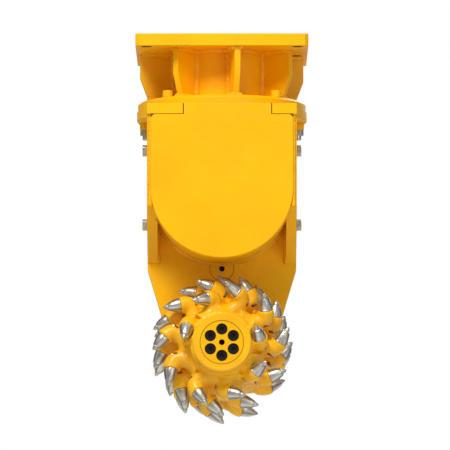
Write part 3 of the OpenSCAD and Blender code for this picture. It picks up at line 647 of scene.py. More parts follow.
@dataclass
class SoftEdges:
    """Copies CAD nodes with their edges broken, as a grinder and thick paint leave them."""

    merge: float = 2e-6
    steps: int = 2
    flat_deg: float = 0.4
    bevel_deg: float = 34.0
    crease_deg: float = 40.0

    def copy(self, node: str, width: float) -> bpy.types.Object:
        """Make a piece from a CAD node.

        Args:
            node: The CAD node's name.
            width: The width of the broken edges.

        Returns:
            The new piece, not yet on a body.
        """
        bm = bmesh.new()
        bm.from_mesh(frame["nodes"][node].data)
        bmesh.ops.remove_doubles(bm, verts=bm.verts, dist=self.merge)
        bmesh.ops.dissolve_limit(
            bm, angle_limit=math.radians(self.flat_deg), verts=bm.verts, edges=bm.edges
        )
        piece = new_object(node + "_finished", mesh_from(bm, node + "_finished"))
        shade(piece, self.crease_deg)
        bevel = piece.modifiers.new("broken_edges", "BEVEL")
        bevel.width = width
        bevel.segments = self.steps
        bevel.limit_method = "ANGLE"
        bevel.angle_limit = math.radians(self.bevel_deg)
        bevel.harden_normals = True
        flats = piece.modifiers.new("true_flats", "WEIGHTED_NORMAL")
        flats.keep_sharp = True
        freeze(piece)
        return piece


class WeldBeads:
    """Lays weld beads along polylines with one geometry node tree."""

    RINGS_PER_RIPPLE = 4
    SPATTER_SCALE = 90.0
    NOISE_MIDDLE = (0.5, 0.5, 0.5)

    def __init__(self, material: bpy.types.Material) -> None:
        """Build the tree that turns a path into a rippled bead.

        Args:
            material: The beads' finish.
        """
        inputs = {
            "Path": GEOMETRY, "Radius": FLOAT, "Step": FLOAT, "Ripple": FLOAT,
            "Roughness": FLOAT, "Sides": COUNT,
        }
        group = NodeGroup("weld_bead", "GeometryNodeTree", inputs, {"Bead": GEOMETRY})
        given = group.given
        curve = group.add("GeometryNodeMeshToCurve", {"Mesh": given["Path"]})
        rings = group.add(
            "GeometryNodeResampleCurve",
            {"Curve": curve.outputs["Curve"], "Length": given["Step"]}, mode="LENGTH",
        )
        profile = group.add(
            "GeometryNodeCurvePrimitiveCircle",
            {"Resolution": given["Sides"], "Radius": given["Radius"]},
        )
        index = group.add("GeometryNodeInputIndex").outputs[0]
        turn = group.math("MULTIPLY", index, math.tau / self.RINGS_PER_RIPPLE)
        swell = group.math("MULTIPLY_ADD", group.math("SINE", turn), given["Ripple"], 1.0)
        tube = group.add(
            "GeometryNodeCurveToMesh",
            {"Curve": rings.outputs["Curve"], "Profile Curve": profile.outputs["Curve"],
             "Scale": swell, "Fill Caps": True},
        )
        spatter = group.add("ShaderNodeTexNoise", {"Scale": self.SPATTER_SCALE})
        centred = group.add(
            "ShaderNodeVectorMath", {0: spatter.outputs["Color"], 1: self.NOISE_MIDDLE},
            operation="SUBTRACT",
        )
        push = group.add(
            "ShaderNodeVectorMath",
            {0: centred.outputs[0], "Scale": given["Roughness"]}, operation="SCALE",
        )
        moved = group.add(
            "GeometryNodeSetPosition",
            {"Geometry": tube.outputs["Mesh"], "Offset": push.outputs[0]},
        )
        group.end_in(moved.outputs["Geometry"], material)
        self.group = group

    def lay(
        self, name: str, paths: Sequence[Sequence[Vector]], radius: float,
        ripple: float = 0.07, roughness: float = 0.45, sides: int = 8, step: float = 0.0035,
    ) -> bpy.types.Object:
        """Lay beads along paths.

        Args:
            name: The piece's name.
            paths: The polylines that the beads follow.
            radius: The beads' radius.
            ripple: Height of the ripples, as a share of the radius.
            roughness: Unevenness, as a share of the radius.
            sides: Sides of a bead's section.
            step: Distance between two rings.

        Returns:
            The piece, a plain mesh.
        """
        bm = bmesh.new()
        for path in paths:
            verts = [bm.verts.new(point) for point in path]
            for pair in zip(verts, verts[1:]):
                bm.edges.new(pair)
        piece = new_object(name, mesh_from(bm, name))
        self.group.run_on(piece, {
            "Radius": radius, "Step": step, "Ripple": ripple,
            "Roughness": roughness * radius, "Sides": sides,
        })
        piece.data.shade_smooth()
        return piece


class PickSetter:
    """Sets copies of one prototype at every pick's place with a geometry node tree."""

    def __init__(self) -> None:
        """Build the tree."""
        inputs = {
            "Places": GEOMETRY, "Prototype": "NodeSocketObject",
            "Finish": "NodeSocketMaterial", "Scale": FLOAT,
        }
        group = NodeGroup("set_on_picks", "GeometryNodeTree", inputs, {"Pieces": GEOMETRY})
        given = group.given
        prototype = group.add("GeometryNodeObjectInfo", {"Object": given["Prototype"]})
        turn = group.add(
            "GeometryNodeInputNamedAttribute", {"Name": "turn"}, data_type="FLOAT_VECTOR"
        )
        rotation = group.add(
            "FunctionNodeEulerToRotation", {"Euler": turn.outputs["Attribute"]}
        )
        copies = group.add(
            "GeometryNodeInstanceOnPoints",
            {"Points": given["Places"], "Instance": prototype.outputs["Geometry"],
             "Rotation": rotation.outputs["Rotation"], "Scale": given["Scale"]},
        )
        group.end_in(copies.outputs["Instances"], given["Finish"])
        self.group = group

    def set(
        self, name: str, mesh: bpy.types.Mesh, places: Sequence[Matrix],
        material: bpy.types.Material,
    ) -> bpy.types.Object:
        """Set a copy of a mesh at every place.

        Args:
            name: The piece's name.
            mesh: The prototype's mesh.
            places: The copies' matrices, without scale.
            material: Their finish.

        Returns:
            The piece, a plain mesh.
        """
        prototype = new_object(name + "_prototype", mesh)
        points = bpy.data.meshes.new(name)
        points.from_pydata([place.to_translation() for place in places], [], [])
        turn = points.attributes.new("turn", "FLOAT_VECTOR", "POINT")
        for item, place in zip(turn.data, places):
            item.vector = Vector(place.to_euler("XYZ"))
        piece = new_object(name, points)
        self.group.run_on(piece, {"Prototype": prototype, "Finish": material, "Scale": 1.0})
        bpy.data.objects.remove(prototype)
        return piece


class Workshop:
    """The finishes, and the tools that every sub-assembly is built with."""

    LINE_SIDES = 6

    def __init__(self) -> None:
        """Mix the finishes and set up the tools."""
        self.palette = Palette()
        self.edges = SoftEdges()
        self.welds = WeldBeads(self.palette["cast_yellow"])
        self.setter = PickSetter()

    def dress(
        self, node: str, width: float, body: str, slot: Slot, *finishes: str
    ) -> bpy.types.Object:
        """Put a finished piece with broken edges in a CAD node's place.

        Args:
            node: The CAD node's name.
            width: The width of the broken edges.
            body: The CAD body that it moves with.
            slot: Its material slot in the record.
            *finishes: Names of its finishes.

        Returns:
            The piece.
        """
        piece = self.edges.copy(node, width)
        paint(piece, *(self.palette[name] for name in finishes))
        settle(piece, body, slot, node)
        return piece

    def weld(self, name: str, paths: Sequence[Sequence[Vector]], radius: float) -> None:
        """Lay weld beads on the housing's body.

        Args:
            name: The piece's name.
            paths: The polylines that the beads follow.
            radius: The beads' radius.
        """
        settle(self.welds.lay(name, paths, radius), HOUSING, Slot.PAINT)

    def draw(
        self, name: str, paths: Sequence[Sequence[Vector]], radius: float, step: float,
        body: str,
    ) -> None:
        """Draw fine lines of painted shade, which stand for the dark of open joints.

        Args:
            name: The piece's name.
            paths: The polylines that the lines follow.
            radius: The lines' radius.
            step: Distance between two rings.
            body: The CAD body that they move with.
        """
        line = self.welds.lay(name, paths, radius, 0, 0, self.LINE_SIDES, step)
        paint(line, self.palette["joint_shadow"])
        settle(line, body, Slot.RUBBER)


def arc(
    centre: Vector, radius: float, start_deg: float, end_deg: float, u: Vector, v: Vector,
    steps: int = 48,
) -> list[Vector]:
    """Give points along an arc.

    Args:
        centre: The arc's centre.
        radius: Its radius.
        start_deg: Angle of its first point, from u towards v.
        end_deg: Angle of its last point.
        u: First unit vector of its plane.
        v: Second unit vector of its plane.
        steps: Number of segments.

    Returns:
        The points.
    """
    angles = [
        math.radians(start_deg + (end_deg - start_deg) * i / steps) for i in range(steps + 1)
    ]
    return [centre + radius * (math.cos(a) * u + math.sin(a) * v) for a in angles]


@dataclass
class Adapter:
    """Mounting plate, ribbed column, flange and the screws that hold the housing."""

    edge: float = 0.0022
    rib_count: int = 8
    rib_start_deg: float = 11.0
    rib_half: float = 0.009
    rib_r_low: float = 0.220
    rib_r_high: float = 0.240
    hole_edge: float = 0.032
    hole_r: float = 0.0185
    bead: float = 0.0098

    def build(self, shop: Workshop) -> None:
        """Build the adapter's pieces.

        Args:
            shop: The finishes and tools.
        """
        plate = shop.dress(
            "mounting_plate", self.edge, HOUSING, Slot.PAINT, "yellow_paint", "joint_shadow"
        )
        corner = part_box("mounting_plate")[1] - Vector((self.hole_edge, self.hole_edge, 0))
        holes = [Vector((i * corner.x, j * corner.y, 0)) for i in (-1, 1) for j in (-1, 0, 1)]
        # Painted shade: the bores' walls take the dark brown joint_shadow finish.
        paint_shade_in_bores(plate, "mounting_plate", holes, self.hole_r, ALONG_Z)
        for node in (
            "adapter_ribs", "adapter_column", "adapter_flange", "flange_cap_screws",
            "stud_sleeves",
        ):
            shop.dress(node, self.edge, HOUSING, Slot.PAINT, "yellow_paint")
        shop.weld("adapter_welds", self.weld_paths(), self.bead)

    def weld_paths(self) -> list[list[Vector]]:
        """Give the paths of the welds between ribs, column, plate and flange.

        Returns:
            The paths.
        """
        low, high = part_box("adapter_column")
        column_r = high.x
        paths = [
            arc(Vector((0, 0, z)), column_r, 0, 360, X, Y) for z in (low.z, high.z)
        ]
        for k in range(self.rib_count):
            turn = Matrix.Rotation(
                math.radians(self.rib_start_deg - 90 + k * 360 / self.rib_count), 3, "Z"
            )
            for side in (-self.rib_half, self.rib_half):
                foot = [(column_r, side, low.z), (self.rib_r_low, side, low.z)]
                rise = [(column_r, side, low.z), (column_r, side, high.z)]
                top = [(column_r, side, high.z), (self.rib_r_high, side, high.z)]
                paths += [[turn @ Vector(p) for p in path] for path in (foot, rise, top)]
        return paths


@dataclass
class Housing:
    """Welded housing with its chambers, shields, gearbox and covers."""

    edge: float = 0.0022
    thin_edge: float = 0.001
    bead: float = 0.0075
    shield_r: float = 0.206
    wall_straight_low: float = -0.501
    line_r: float = 0.0007
    idler_hole_r: float = 0.0092
    idler_line_step: float = 0.003
    tab_len: float = 0.105
    short_tab_len: float = 0.0725
    tab_relief: float = 0.008
    tab_line_step: float = 0.006
    end_line_share: float = 2.0
    corner_line_share: float = 2.4

    def build(self, shop: Workshop) -> None:
        """Build the housing's pieces.

        Args:
            shop: The finishes and tools.
        """
        thick = (
            "housing_top_plate", "left_housing_wall", "right_housing_wall", "near_shield",
            "far_shield", "near_side_plate", "far_side_plate", "gearbox_rim",
        )
        thin = (
            "near_wear_plate", "far_wear_plate", "near_chamber_wall", "far_chamber_wall",
            "left_gearbox_cover", "right_gearbox_cover",
        )
        for width, nodes in ((self.edge, thick), (self.thin_edge, thin)):
            for node in nodes:
                shop.dress(node, width, HOUSING, Slot.PAINT, "yellow_paint")
        for node in ("cover_bolts", "cover_washers", "stud_nuts", "flange_studs"):
            shop.dress(node, self.thin_edge, HOUSING, Slot.ZINC, "zinc_plating")
        shop.weld("housing_welds", self.weld_paths(), self.bead)
        self.draw_tab_joints(shop)
        self.build_idler_caps(shop)

    def draw_tab_joints(self, shop: Workshop) -> None:
        """Draw the open joints round the top plate's corner tabs as lines of painted shade.

        Args:
            shop: The finishes and tools.
        """
        low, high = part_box("housing_top_plate")
        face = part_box("near_shield")[0].y
        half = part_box("right_housing_wall")[1].x
        ends, seams, corners = [], [], []
        for y in (face, -face):
            for side, length in ((-1, self.tab_len), (1, self.short_tab_len)):
                inner, outer = side * (half - length), side * self.shield_r
                ends.append([Vector((inner, y, z)) for z in (low.z, high.z)])
                seams.append([Vector((x, y, low.z)) for x in (inner, outer)])
                corners.append([
                    Vector((outer - side * self.tab_relief, y, low.z)),
                    Vector((outer, y, low.z - self.tab_relief)),
                ])
        # The seams also stand for the shadow under each tab, and the thicker corner lines for the
        # shaded recess at each corner: all painted shade.
        for name, paths, share in (
            ("tab_end_joints", ends, self.end_line_share),
            ("tab_seams", seams, 1.0),
            ("tab_corners", corners, self.corner_line_share),
        ):
            shop.draw(name, paths, share * self.line_r, self.tab_line_step, HOUSING)

    def build_idler_caps(self, shop: Workshop) -> None:
        """Build the idler's caps, with painted shade in their holes and a fine line of painted
        shade round them.

        Args:
            shop: The finishes and tools.
        """
        caps = shop.dress(
            "idler_caps", self.thin_edge / 2, HOUSING, Slot.PAINT, "yellow_paint", "black_oxide_and_shade"
        )
        low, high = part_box("idler_caps")
        centre = Vector((0, 0, (low.z + high.z) / 2))
        # Painted shade: the hole's walls take the black finish.
        paint_shade_in_bores(caps, "idler_caps", [centre], self.idler_hole_r, ALONG_Y)
        rings = [arc(centre + y * Y, high.x, 0, 360, X, Z) for y in (low.y, high.y)]
        shop.draw("idler_cap_lines", rings, self.line_r, self.idler_line_step, HOUSING)

    def weld_paths(self) -> list[list[Vector]]:
        """Give the paths of the welds round the shields and along the walls.

        Returns:
            The paths.
        """
        low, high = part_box("near_chamber_wall")
        inner_x = high.x
        centre_z = low.z + self.shield_r
        wall_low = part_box("right_housing_wall")[0].z
        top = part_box("right_housing_wall")[1].z
        edge_z = centre_z - math.sqrt(self.shield_r**2 - inner_x**2)
        end_y, gearbox_y = low.y, high.y
        slope_y = end_y + (gearbox_y - end_y) * (
            (self.wall_straight_low - edge_z) / (self.wall_straight_low - wall_low)
        )
        paths = []
        for flip in (1, -1):
            for side in (-1, 1):
                corner = Vector((side * self.shield_r, flip * end_y, 0))
                paths.append([corner + z * Z for z in (top, centre_z, self.wall_straight_low)])
                seam = Vector((side * inner_x, 0, edge_z))
                paths.append([seam + flip * y * Y for y in (slope_y, gearbox_y)])
                paths.append([
                    Vector((side * inner_x, flip * gearbox_y, z)) for z in (edge_z, wall_low)
                ])
            centre = Vector((0, flip * gearbox_y, centre_z))
            half = math.degrees(math.acos(inner_x / self.shield_r))
            paths.append(arc(centre, self.shield_r, 180 + half, 360 - half, X, Z))
        return paths


@dataclass(frozen=True)
class Pick:
    """One pick's place, in the near drum's own frame with the nose towards +Z."""

    angle_deg: float
    seat_r: float
    lead_deg: float
    tilt_deg: float
    height: float

    def matrix(self) -> Matrix:
        """Give the pick's frame: zero on the holder's face and +Z along the pick.

        Returns:
            The matrix from the pick's frame to the drum's frame.
        """
        return (
            Matrix.Rotation(math.radians(self.angle_deg), 4, "Z")
            @ Matrix.Translation((self.seat_r, 0, self.height))
            @ Matrix.Rotation(math.radians(-self.lead_deg), 4, "Z")
            @ Matrix.Rotation(math.radians(self.tilt_deg - 90), 4, "X")
        )


@dataclass
class PickLayout:
    """Two spiral arms of picks, from the nose to the housing."""

    sweep_r: float = 0.204
    first: float = 0.256
    last: float = 0.095
    arm_b_ahead: float = 0.003
    a_angles: tuple[float, ...] = (
        156.6, 109.3, 74.4, 38.4, 2.7, -33, -70, -100, -133, -173, -205.5, -244, -278, -310,
        -344.6,
    )
    b_angles: tuple[float, ...] = (
        9.5, -38.5, -79.3, -116.1, -153.8, -187, -223.9, -260, -295.7, -331.5, -368,
    )
    a_seat_shares: tuple[float, ...] = (
        0.54, 0.67, 0.76, 0.79, 0.82, 0.82, 0.84, 0.84, 0.84, 0.85, 0.84, 0.84, 0.85, 0.85,
        0.84,
    )
    b_seat_shares: tuple[float, ...] = (
        0.53, 0.62, 0.7, 0.76, 0.8, 0.82, 0.82, 0.83, 0.85, 0.85, 0.84,
    )
    a_leads: tuple[float, ...] = (-8, 10, 26, 32) + (35,) * 11
    b_leads: tuple[float, ...] = (-8, 10, 24, 30, 34) + (35,) * 6
    a_tilts: tuple[float, ...] = (48, 38, 29, 24, 15, 12, 10, 8, 6, 4, 2, 0, 0, 0, 0)
    b_tilts: tuple[float, ...] = (50, 40, 31, 25, 16, 12, 8, 4, 0, 0, 0)

    def picks(self) -> list[Pick]:
        """Give every pick of the near drum.

        Returns:
            The picks, arm by arm.
        """
        pitch = (self.first - self.last) / (len(self.a_angles) - 1)
        arms = (
            (self.a_angles, self.a_seat_shares, self.a_leads, self.a_tilts, self.first),
            (self.b_angles, self.b_seat_shares, self.b_leads, self.b_tilts,
             self.first + self.arm_b_ahead),
        )
        return [
            Pick(angle, self.sweep_r * share, lead, tilt, start - k * pitch)
            for angles, shares, leads, tilts, start in arms
            for k, (angle, share, lead, tilt) in enumerate(zip(angles, shares, leads, tilts))
        ]


def add_ring(
    bm: bmesh.types.BMesh, radius: float, height: float, sides: int
) -> list[bmesh.types.BMVert]:
    """Add a ring of vertices round Z, or one vertex where the radius is zero.

    Args:
        bm: The bmesh to add to.
        radius: The ring's radius.
        height: Its height.
        sides: Number of its vertices.

    Returns:
        The vertices.
    """
    angles = [math.tau * i / sides for i in range(sides if radius else 1)]
    return [bm.verts.new((radius * math.cos(a), radius * math.sin(a), height)) for a in angles]


def bridge(
    bm: bmesh.types.BMesh, first: Sequence[bmesh.types.BMVert],
    second: Sequence[bmesh.types.BMVert],
) -> None:
    """Join two rings of vertices by a band of faces.

    The faces point outwards where the rings turn right-handed about the way from the second
    ring to the first.

    Args:
        bm: The bmesh to add to.
        first: One ring.
        second: The other ring, with as many vertices.
    """
    for k in range(len(first)):
        n = (k + 1) % len(first)
        bm.faces.new((first[k], second[k], second[n], first[n]))


def revolved(
    name: str, profile: Sequence[tuple[float, float]], sides: int
) -> bpy.types.Mesh:
    """Turn a profile round Z, with U round the axis and V along the profile.

    Args:
        name: The mesh's name.
        profile: Points of radius and height, from the foot to the top.
        sides: Number of sides.

    Returns:
        The mesh, closed by poles where the profile starts and ends on the axis.
    """
    bm = bmesh.new()
    uv = bm.loops.layers.uv.new("UVMap")
    rings = [add_ring(bm, radius, height, sides) for radius, height in profile]
    for j, (low, high) in enumerate(zip(rings, rings[1:])):
        for i in range(sides):
            corners = [(low, i, j), (low, i + 1, j), (high, i + 1, j + 1), (high, i, j + 1)]
            if len(low) == 1:
                corners.pop(1)
            elif len(high) == 1:
                corners.pop(2)
            face = bm.faces.new([ring[k % len(ring)] for ring, k, _ in corners])
            for loop, (_, k, row) in zip(face.loops, corners):
                loop[uv].uv = (k / sides, profile[row][1])
    bmesh.ops.recalc_face_normals(bm, faces=bm.faces)
    return mesh_from(bm, name)


def turn_to_part(piece: bpy.types.Object, side: Side, crease_deg: float) -> None:
    """Turn a piece's mesh from a drum's own frame to the part's, mirrored for the far drum.

    Args:
        piece: The piece, whose object stays at the origin.
        side: The drum's side.
        crease_deg: The angle from which its edges stay sharp.
    """
    mirror = Matrix.Diagonal((1, 1 if side is Side.NEAR else -1, 1, 1))
    piece.data.transform(
        mirror @ Matrix.Translation((0, 0, DRUM_Z)) @ Matrix.Rotation(math.pi / 2, 4, "X")
    )
    if side is Side.FAR:
        piece.data.flip_normals()
    shade(piece, crease_deg)


def bezier(ends: Sequence[Vector], t: float) -> tuple[Vector, Vector]:
    """Give a point and a unit tangent on a cubic curve.

    Args:
        ends: Its four control points.
        t: The share of the way.

    Returns:
        The point and the tangent.
    """
    a, b, c, d = ends
    s = 1 - t
    point = s**3 * a + 3 * s * s * t * b + 3 * s * t * t * c + t**3 * d
    slope = 3 * s * s * (b - a) + 6 * s * t * (c - b) + 3 * t * t * (d - c)
    return point, slope.normalized()


@dataclass
class Drum:
    """One drum: its shell, cast claws, picks and points."""

    side: Side
    layout: PickLayout
    shell_edge: float = 0.002
    body_r: float = 0.132
    nose_r: float = 0.085
    taper_start: float = 0.140
    taper_end: float = 0.250
    rim: float = 0.0705
    skin_end: float = 0.264
    skin_proud: float = 0.007
    skin_depth: float = 0.012
    skin_sides: int = 96
    boss_r: float = 0.0246
    arm_r: float = 0.0245
    arm_deep: float = 0.031
    arm_back: float = 0.052
    arm_rings: int = 14
    arm_sides: int = 20
    waist_behind_deg: float = 3.0
    waist_proud: float = 0.004
    root_r: float = 0.041
    root_back_share: float = 0.6
    root_ahead_deg: float = 15.0
    root_sink: float = 0.016
    flare_start: float = 0.7
    flare_len: float = 0.3
    rim_gap: float = 0.001
    voxel: float = 0.0034
    smooth_share: float = 0.5
    smooth_steps: int = 7
    rough_height: float = 0.0016
    rough_scale: float = 85.0
    rough_lift: float = 0.006
    rough_reach: float = 0.014
    fine_share: float = 0.5
    fine_scale: float = 2.3
    cast_crease_deg: float = 38.0
    pick_len: float = 0.050
    pick_sides: int = 40
    pick_crease_deg: float = 30.0
    point_sides: int = 28
    socket_len: float = 0.040
    shank_r: float = 0.010
    shank_past: float = 0.005
    collar_r: float = 0.021
    collar_gap: float = 0.0012
    slot_half: float = 0.0125
    slot_w: float = 0.0075
    slot_reach: float = 0.034

    def body_radius(self, height: float) -> float:
        """Give the radius of the drum's body at a distance from the cutter's middle."""
        share = (height - self.taper_start) / (self.taper_end - self.taper_start)
        return self.body_r - (self.body_r - self.nose_r) * max(0.0, min(1.0, share))

    def build(self, shop: Workshop) -> None:
        """Build the drum's pieces.

        Args:
            shop: The finishes and tools.
        """
        side = self.side.value
        shop.dress(side + "_drum_shell", self.shell_edge, DRUMS, Slot.PAINT, "cast_yellow")
        claws = self.build_claws()
        paint(claws, shop.palette["cast_yellow"])
        settle(claws, DRUMS, Slot.PAINT, side + "_pick_holders")
        places = [pick.matrix() for pick in self.layout.picks()]
        for name, mesh, finish, slot, node in (
            ("_pick_bodies", self.pick_mesh(), "pick_steel", Slot.BRIGHT, "_picks"),
            ("_pick_points", self.point_mesh(), "carbide", Slot.CARBIDE, "_pick_tips"),
        ):
            piece = shop.setter.set(side + name, mesh, places, shop.palette[finish])
            turn_to_part(piece, self.side, self.pick_crease_deg)
            settle(piece, DRUMS, slot, side + node)

    def pick_mesh(self) -> bpy.types.Mesh:
        """Make one pick's body: foot and shank, collar, cone, and the crown round its point.

        Returns:
            The mesh.
        """
        shank, collar = self.shank_r, self.collar_r
        foot = -self.socket_len - self.shank_past
        profile = [
            (0, foot), (shank - 0.001, foot), (shank, foot + 0.001), (shank, 0),
            (collar - 0.0008, 0.0004), (collar, 0.0012), (collar, 0.0034),
            (collar - 0.0004, 0.0042), (collar - 0.0012, 0.0048), (collar - 0.0012, 0.0056),
            (0.0195, 0.009), (0.0183, 0.015), (0.0166, 0.0215), (0.0143, 0.0285),
            (0.0118, 0.0342), (0.0108, 0.0357), (0.0094, 0.0363), (0.0064, 0.036),
            (0.0058, 0.030), (0, 0.030),
        ]
        return revolved("pick", profile, self.pick_sides)

    def point_mesh(self) -> bpy.types.Mesh:
        """Make one pick's carbide point: its stem in the crown, and its blunt cone.

        Returns:
            The mesh.
        """
        profile = [
            (0, 0.0305), (0.006, 0.0305), (0.0061, 0.0358), (0.0082, 0.036),
            (0.0084, 0.0366), (0.0082, 0.0384), (0.0075, 0.0404), (0.0065, 0.0424),
            (0.0053, 0.0448), (0.0038, 0.0472), (0.0023, 0.049), (0.0009, 0.0498),
            (0, self.pick_len),
        ]
        return revolved("pick_point", profile, self.point_sides)

    def build_claws(self) -> bpy.types.Object:
        """Build the cast claws that hold the picks, blended into the drum's skin.

        Returns:
            The piece.
        """
        bm = bmesh.new()
        for pick in self.layout.picks():
            self.add_claw(bm, pick)
        self.add_skin(bm)
        name = self.side.value + "_claws"
        piece = new_object(name, mesh_from(bm, name))
        remesh = piece.modifiers.new("one_casting", "REMESH")
        remesh.mode = "VOXEL"
        remesh.voxel_size = self.voxel
        smooth = piece.modifiers.new("fillets", "SMOOTH")
        smooth.factor = self.smooth_share
        smooth.iterations = self.smooth_steps
        freeze(piece)
        self.roughen(piece)
        self.cut_seats(piece)
        turn_to_part(piece, self.side, self.cast_crease_deg)
        return piece

    def add_claw(self, bm: bmesh.types.BMesh, pick: Pick) -> None:
        """Add one claw, swept from its pick's seat down to the drum.

        Args:
            bm: The bmesh to add to.
            pick: The pick that it holds.
        """
        place = pick.matrix()
        face = place.to_translation()
        aim = place.to_3x3() @ Z
        lean = math.sin(math.radians(pick.tilt_deg))
        root_z = max(
            self.rim + self.root_r, pick.height - self.root_back_share * self.arm_back * lean
        )
        angle = math.radians(pick.angle_deg)
        ahead = angle + math.radians(self.root_ahead_deg)
        behind = angle - math.radians(self.waist_behind_deg)
        level = self.body_radius(root_z)
        root, waist = (
            Vector((math.cos(a), math.sin(a), 0)) * radius + root_z * Z
            for a, radius in ((ahead, level - self.root_sink), (behind, level + self.waist_proud))
        )
        ends = (face, face - aim * self.arm_back, waist, root)
        rings = []
        for i in range(self.arm_rings + 1):
            t = i / self.arm_rings
            centre, heading = bezier(ends, t)
            across = (Z - heading * heading.dot(Z)).normalized()
            inward = heading.cross(across)
            swell = t * t * (3 - 2 * t)
            flare = max(0.0, (t - self.flare_start) / self.flare_len) ** 2
            flat, deep = (
                self.boss_r + (arm - self.boss_r) * swell + (self.root_r - arm) * flare
                for arm in (self.arm_r, self.arm_deep)
            )
            rings.append([
                bm.verts.new(centre + inward * flat * math.cos(a) + across * deep * math.sin(a))
                for a in (math.tau * k / self.arm_sides for k in range(self.arm_sides))
            ])
        for low, high in zip(rings, rings[1:]):
            bridge(bm, low, high)
        bm.faces.new(rings[0])
        bm.faces.new(reversed(rings[-1]))
        for ring in rings:
            for vert in ring:
                vert.co.z = max(vert.co.z, self.rim + self.rim_gap)

    def add_skin(self, bm: bmesh.types.BMesh) -> None:
        """Add the drum's outer skin, which the claws blend into.

        Args:
            bm: The bmesh to add to.
        """
        heights = (self.rim, self.taper_start, self.taper_end, self.skin_end)
        outer = [(self.body_radius(h) + self.skin_proud, h) for h in heights]
        inner = [(self.body_radius(h) - self.skin_depth, h) for h in reversed(heights)]
        rings = [add_ring(bm, r, h, self.skin_sides) for r, h in outer + inner]
        for low, high in zip(rings, rings[1:] + rings[:1]):
            bridge(bm, high, low)

    def roughen(self, piece: bpy.types.Object) -> None:
        """Roughen the claws' feet as thick weld does, fading out towards the seats.

        Args:
            piece: The blended claws, still in the drum's own frame.
        """
        places = []
        for vert, normal in zip(piece.data.vertices, piece.data.vertex_normals):
            point = vert.co.copy()
            lift = math.hypot(point.x, point.y) - self.body_radius(point.z)
            weight = max(0.0, 1 - abs(lift - self.rough_lift) / self.rough_reach)
            if weight > 0:
                bump = noise.noise(point * self.rough_scale)
                bump += self.fine_share * noise.noise(
                    point * self.rough_scale * self.fine_scale
                )
                point += normal.vector * (bump * weight * self.rough_height)
            places.extend(point)
        piece.data.vertices.foreach_set("co", places)
        piece.data.update()

    def cut_seats(self, piece: bpy.types.Object) -> None:
        """Cut the picks' seats and the slots at the spring rings.

        Args:
            piece: The blended claws, still in the drum's own frame.
        """
        bm = bmesh.new()
        bore_r = self.collar_r + self.collar_gap
        for pick in self.layout.picks():
            place = pick.matrix()
            seat = place @ Matrix.Translation((0, 0, self.pick_len / 2))
            bmesh.ops.create_cone(
                bm, cap_ends=True, segments=self.pick_sides, radius1=bore_r, radius2=bore_r,
                depth=self.pick_len, matrix=seat,
            )
            self.add_slot(bm, place)
        cutter = new_object("seat_cutter", mesh_from(bm, "seat_cutter"))
        cut = piece.modifiers.new("seats", "BOOLEAN")
        cut.operation = "DIFFERENCE"
        cut.solver = "MANIFOLD"
        cut.object = cutter
        freeze(piece)
        bpy.data.objects.remove(cutter)

    def add_slot(self, bm: bmesh.types.BMesh, place: Matrix) -> None:
        """Add a box that opens the claw's outer side at the pick's spring ring.

        Args:
            bm: The bmesh to add to.
            place: The pick's matrix.
        """
        centre = (0, -self.slot_reach / 2, -self.socket_len - self.slot_w / 2)
        size = Matrix.Diagonal((2 * self.slot_half, self.slot_reach, self.slot_w, 1))
        bmesh.ops.create_cube(bm, size=1, matrix=place @ Matrix.Translation(centre) @ size)


@dataclass
class Hub:
    """Hub caps, with painted shade in their screws' wells, as a fine line round each and as
    plugs.
    """

    edge: float = 0.0006
    screw_circle_r: float = 0.038
    screw_count: int = 6
    well_r: float = 0.0172
    line_r: float = 0.0008
    line_step: float = 0.003
    line_arcs: int = 96
    plug_r: float = 0.0082
    plug_seat: float = 0.2742
    plug_t: float = 0.008
    plug_wall: float = 0.0015
    plug_draft: float = 0.001
    plug_sides: int = 32
    plug_crease_deg: float = 30.0

    def build(self, shop: Workshop) -> None:
        """Build the caps, the lines and the plugs.

        Args:
            shop: The finishes and tools.
        """
        caps = shop.dress(
            "hub_caps", self.edge, DRUMS, Slot.PAINT, "yellow_paint", "black_oxide_and_shade"
        )
        centre = Vector((0, 0, DRUM_Z))
        screws = arc(centre, self.screw_circle_r, 90, 450, X, Z, self.screw_count)[1:]
        # Painted shade: the walls of the wells and of the centre hole take the black finish.
        paint_shade_in_bores(caps, "hub_caps", [centre, *screws], self.well_r, ALONG_Y)
        low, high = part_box("hub_caps")
        rings = [
            arc(centre + y * Y, high.x, 0, 360, X, Z, self.line_arcs) for y in (low.y, high.y)
        ]
        shop.draw("hub_cap_lines", rings, self.line_r, self.line_step, DRUMS)
        self.build_shade_plugs(shop.palette)

    def build_shade_plugs(self, palette: Palette) -> None:
        """Build black plugs deep in the caps' centre holes, as painted shade there.

        Args:
            palette: The finishes.
        """
        rim = self.plug_r - self.plug_wall
        profile = [
            (0, 0), (self.plug_r, 0), (self.plug_r, self.plug_t), (rim, self.plug_t),
            (rim - self.plug_draft, self.plug_t / 2), (0, self.plug_t / 2),
        ]
        for side in Side:
            name = side.value + "_centre_plug"
            plug = new_object(name, revolved(name, profile, self.plug_sides))
            plug.data.transform(Matrix.Translation((0, 0, self.plug_seat)))
            turn_to_part(plug, side, self.plug_crease_deg)
            paint(plug, palette["black_oxide_and_shade"])
            settle(plug, DRUMS, Slot.RUBBER)


@dataclass(frozen=True)
class Lamp:
    """A large soft light: its place, the side of its square and its power in watts."""

    name: str
    place: Triple
    size: float
    power: float


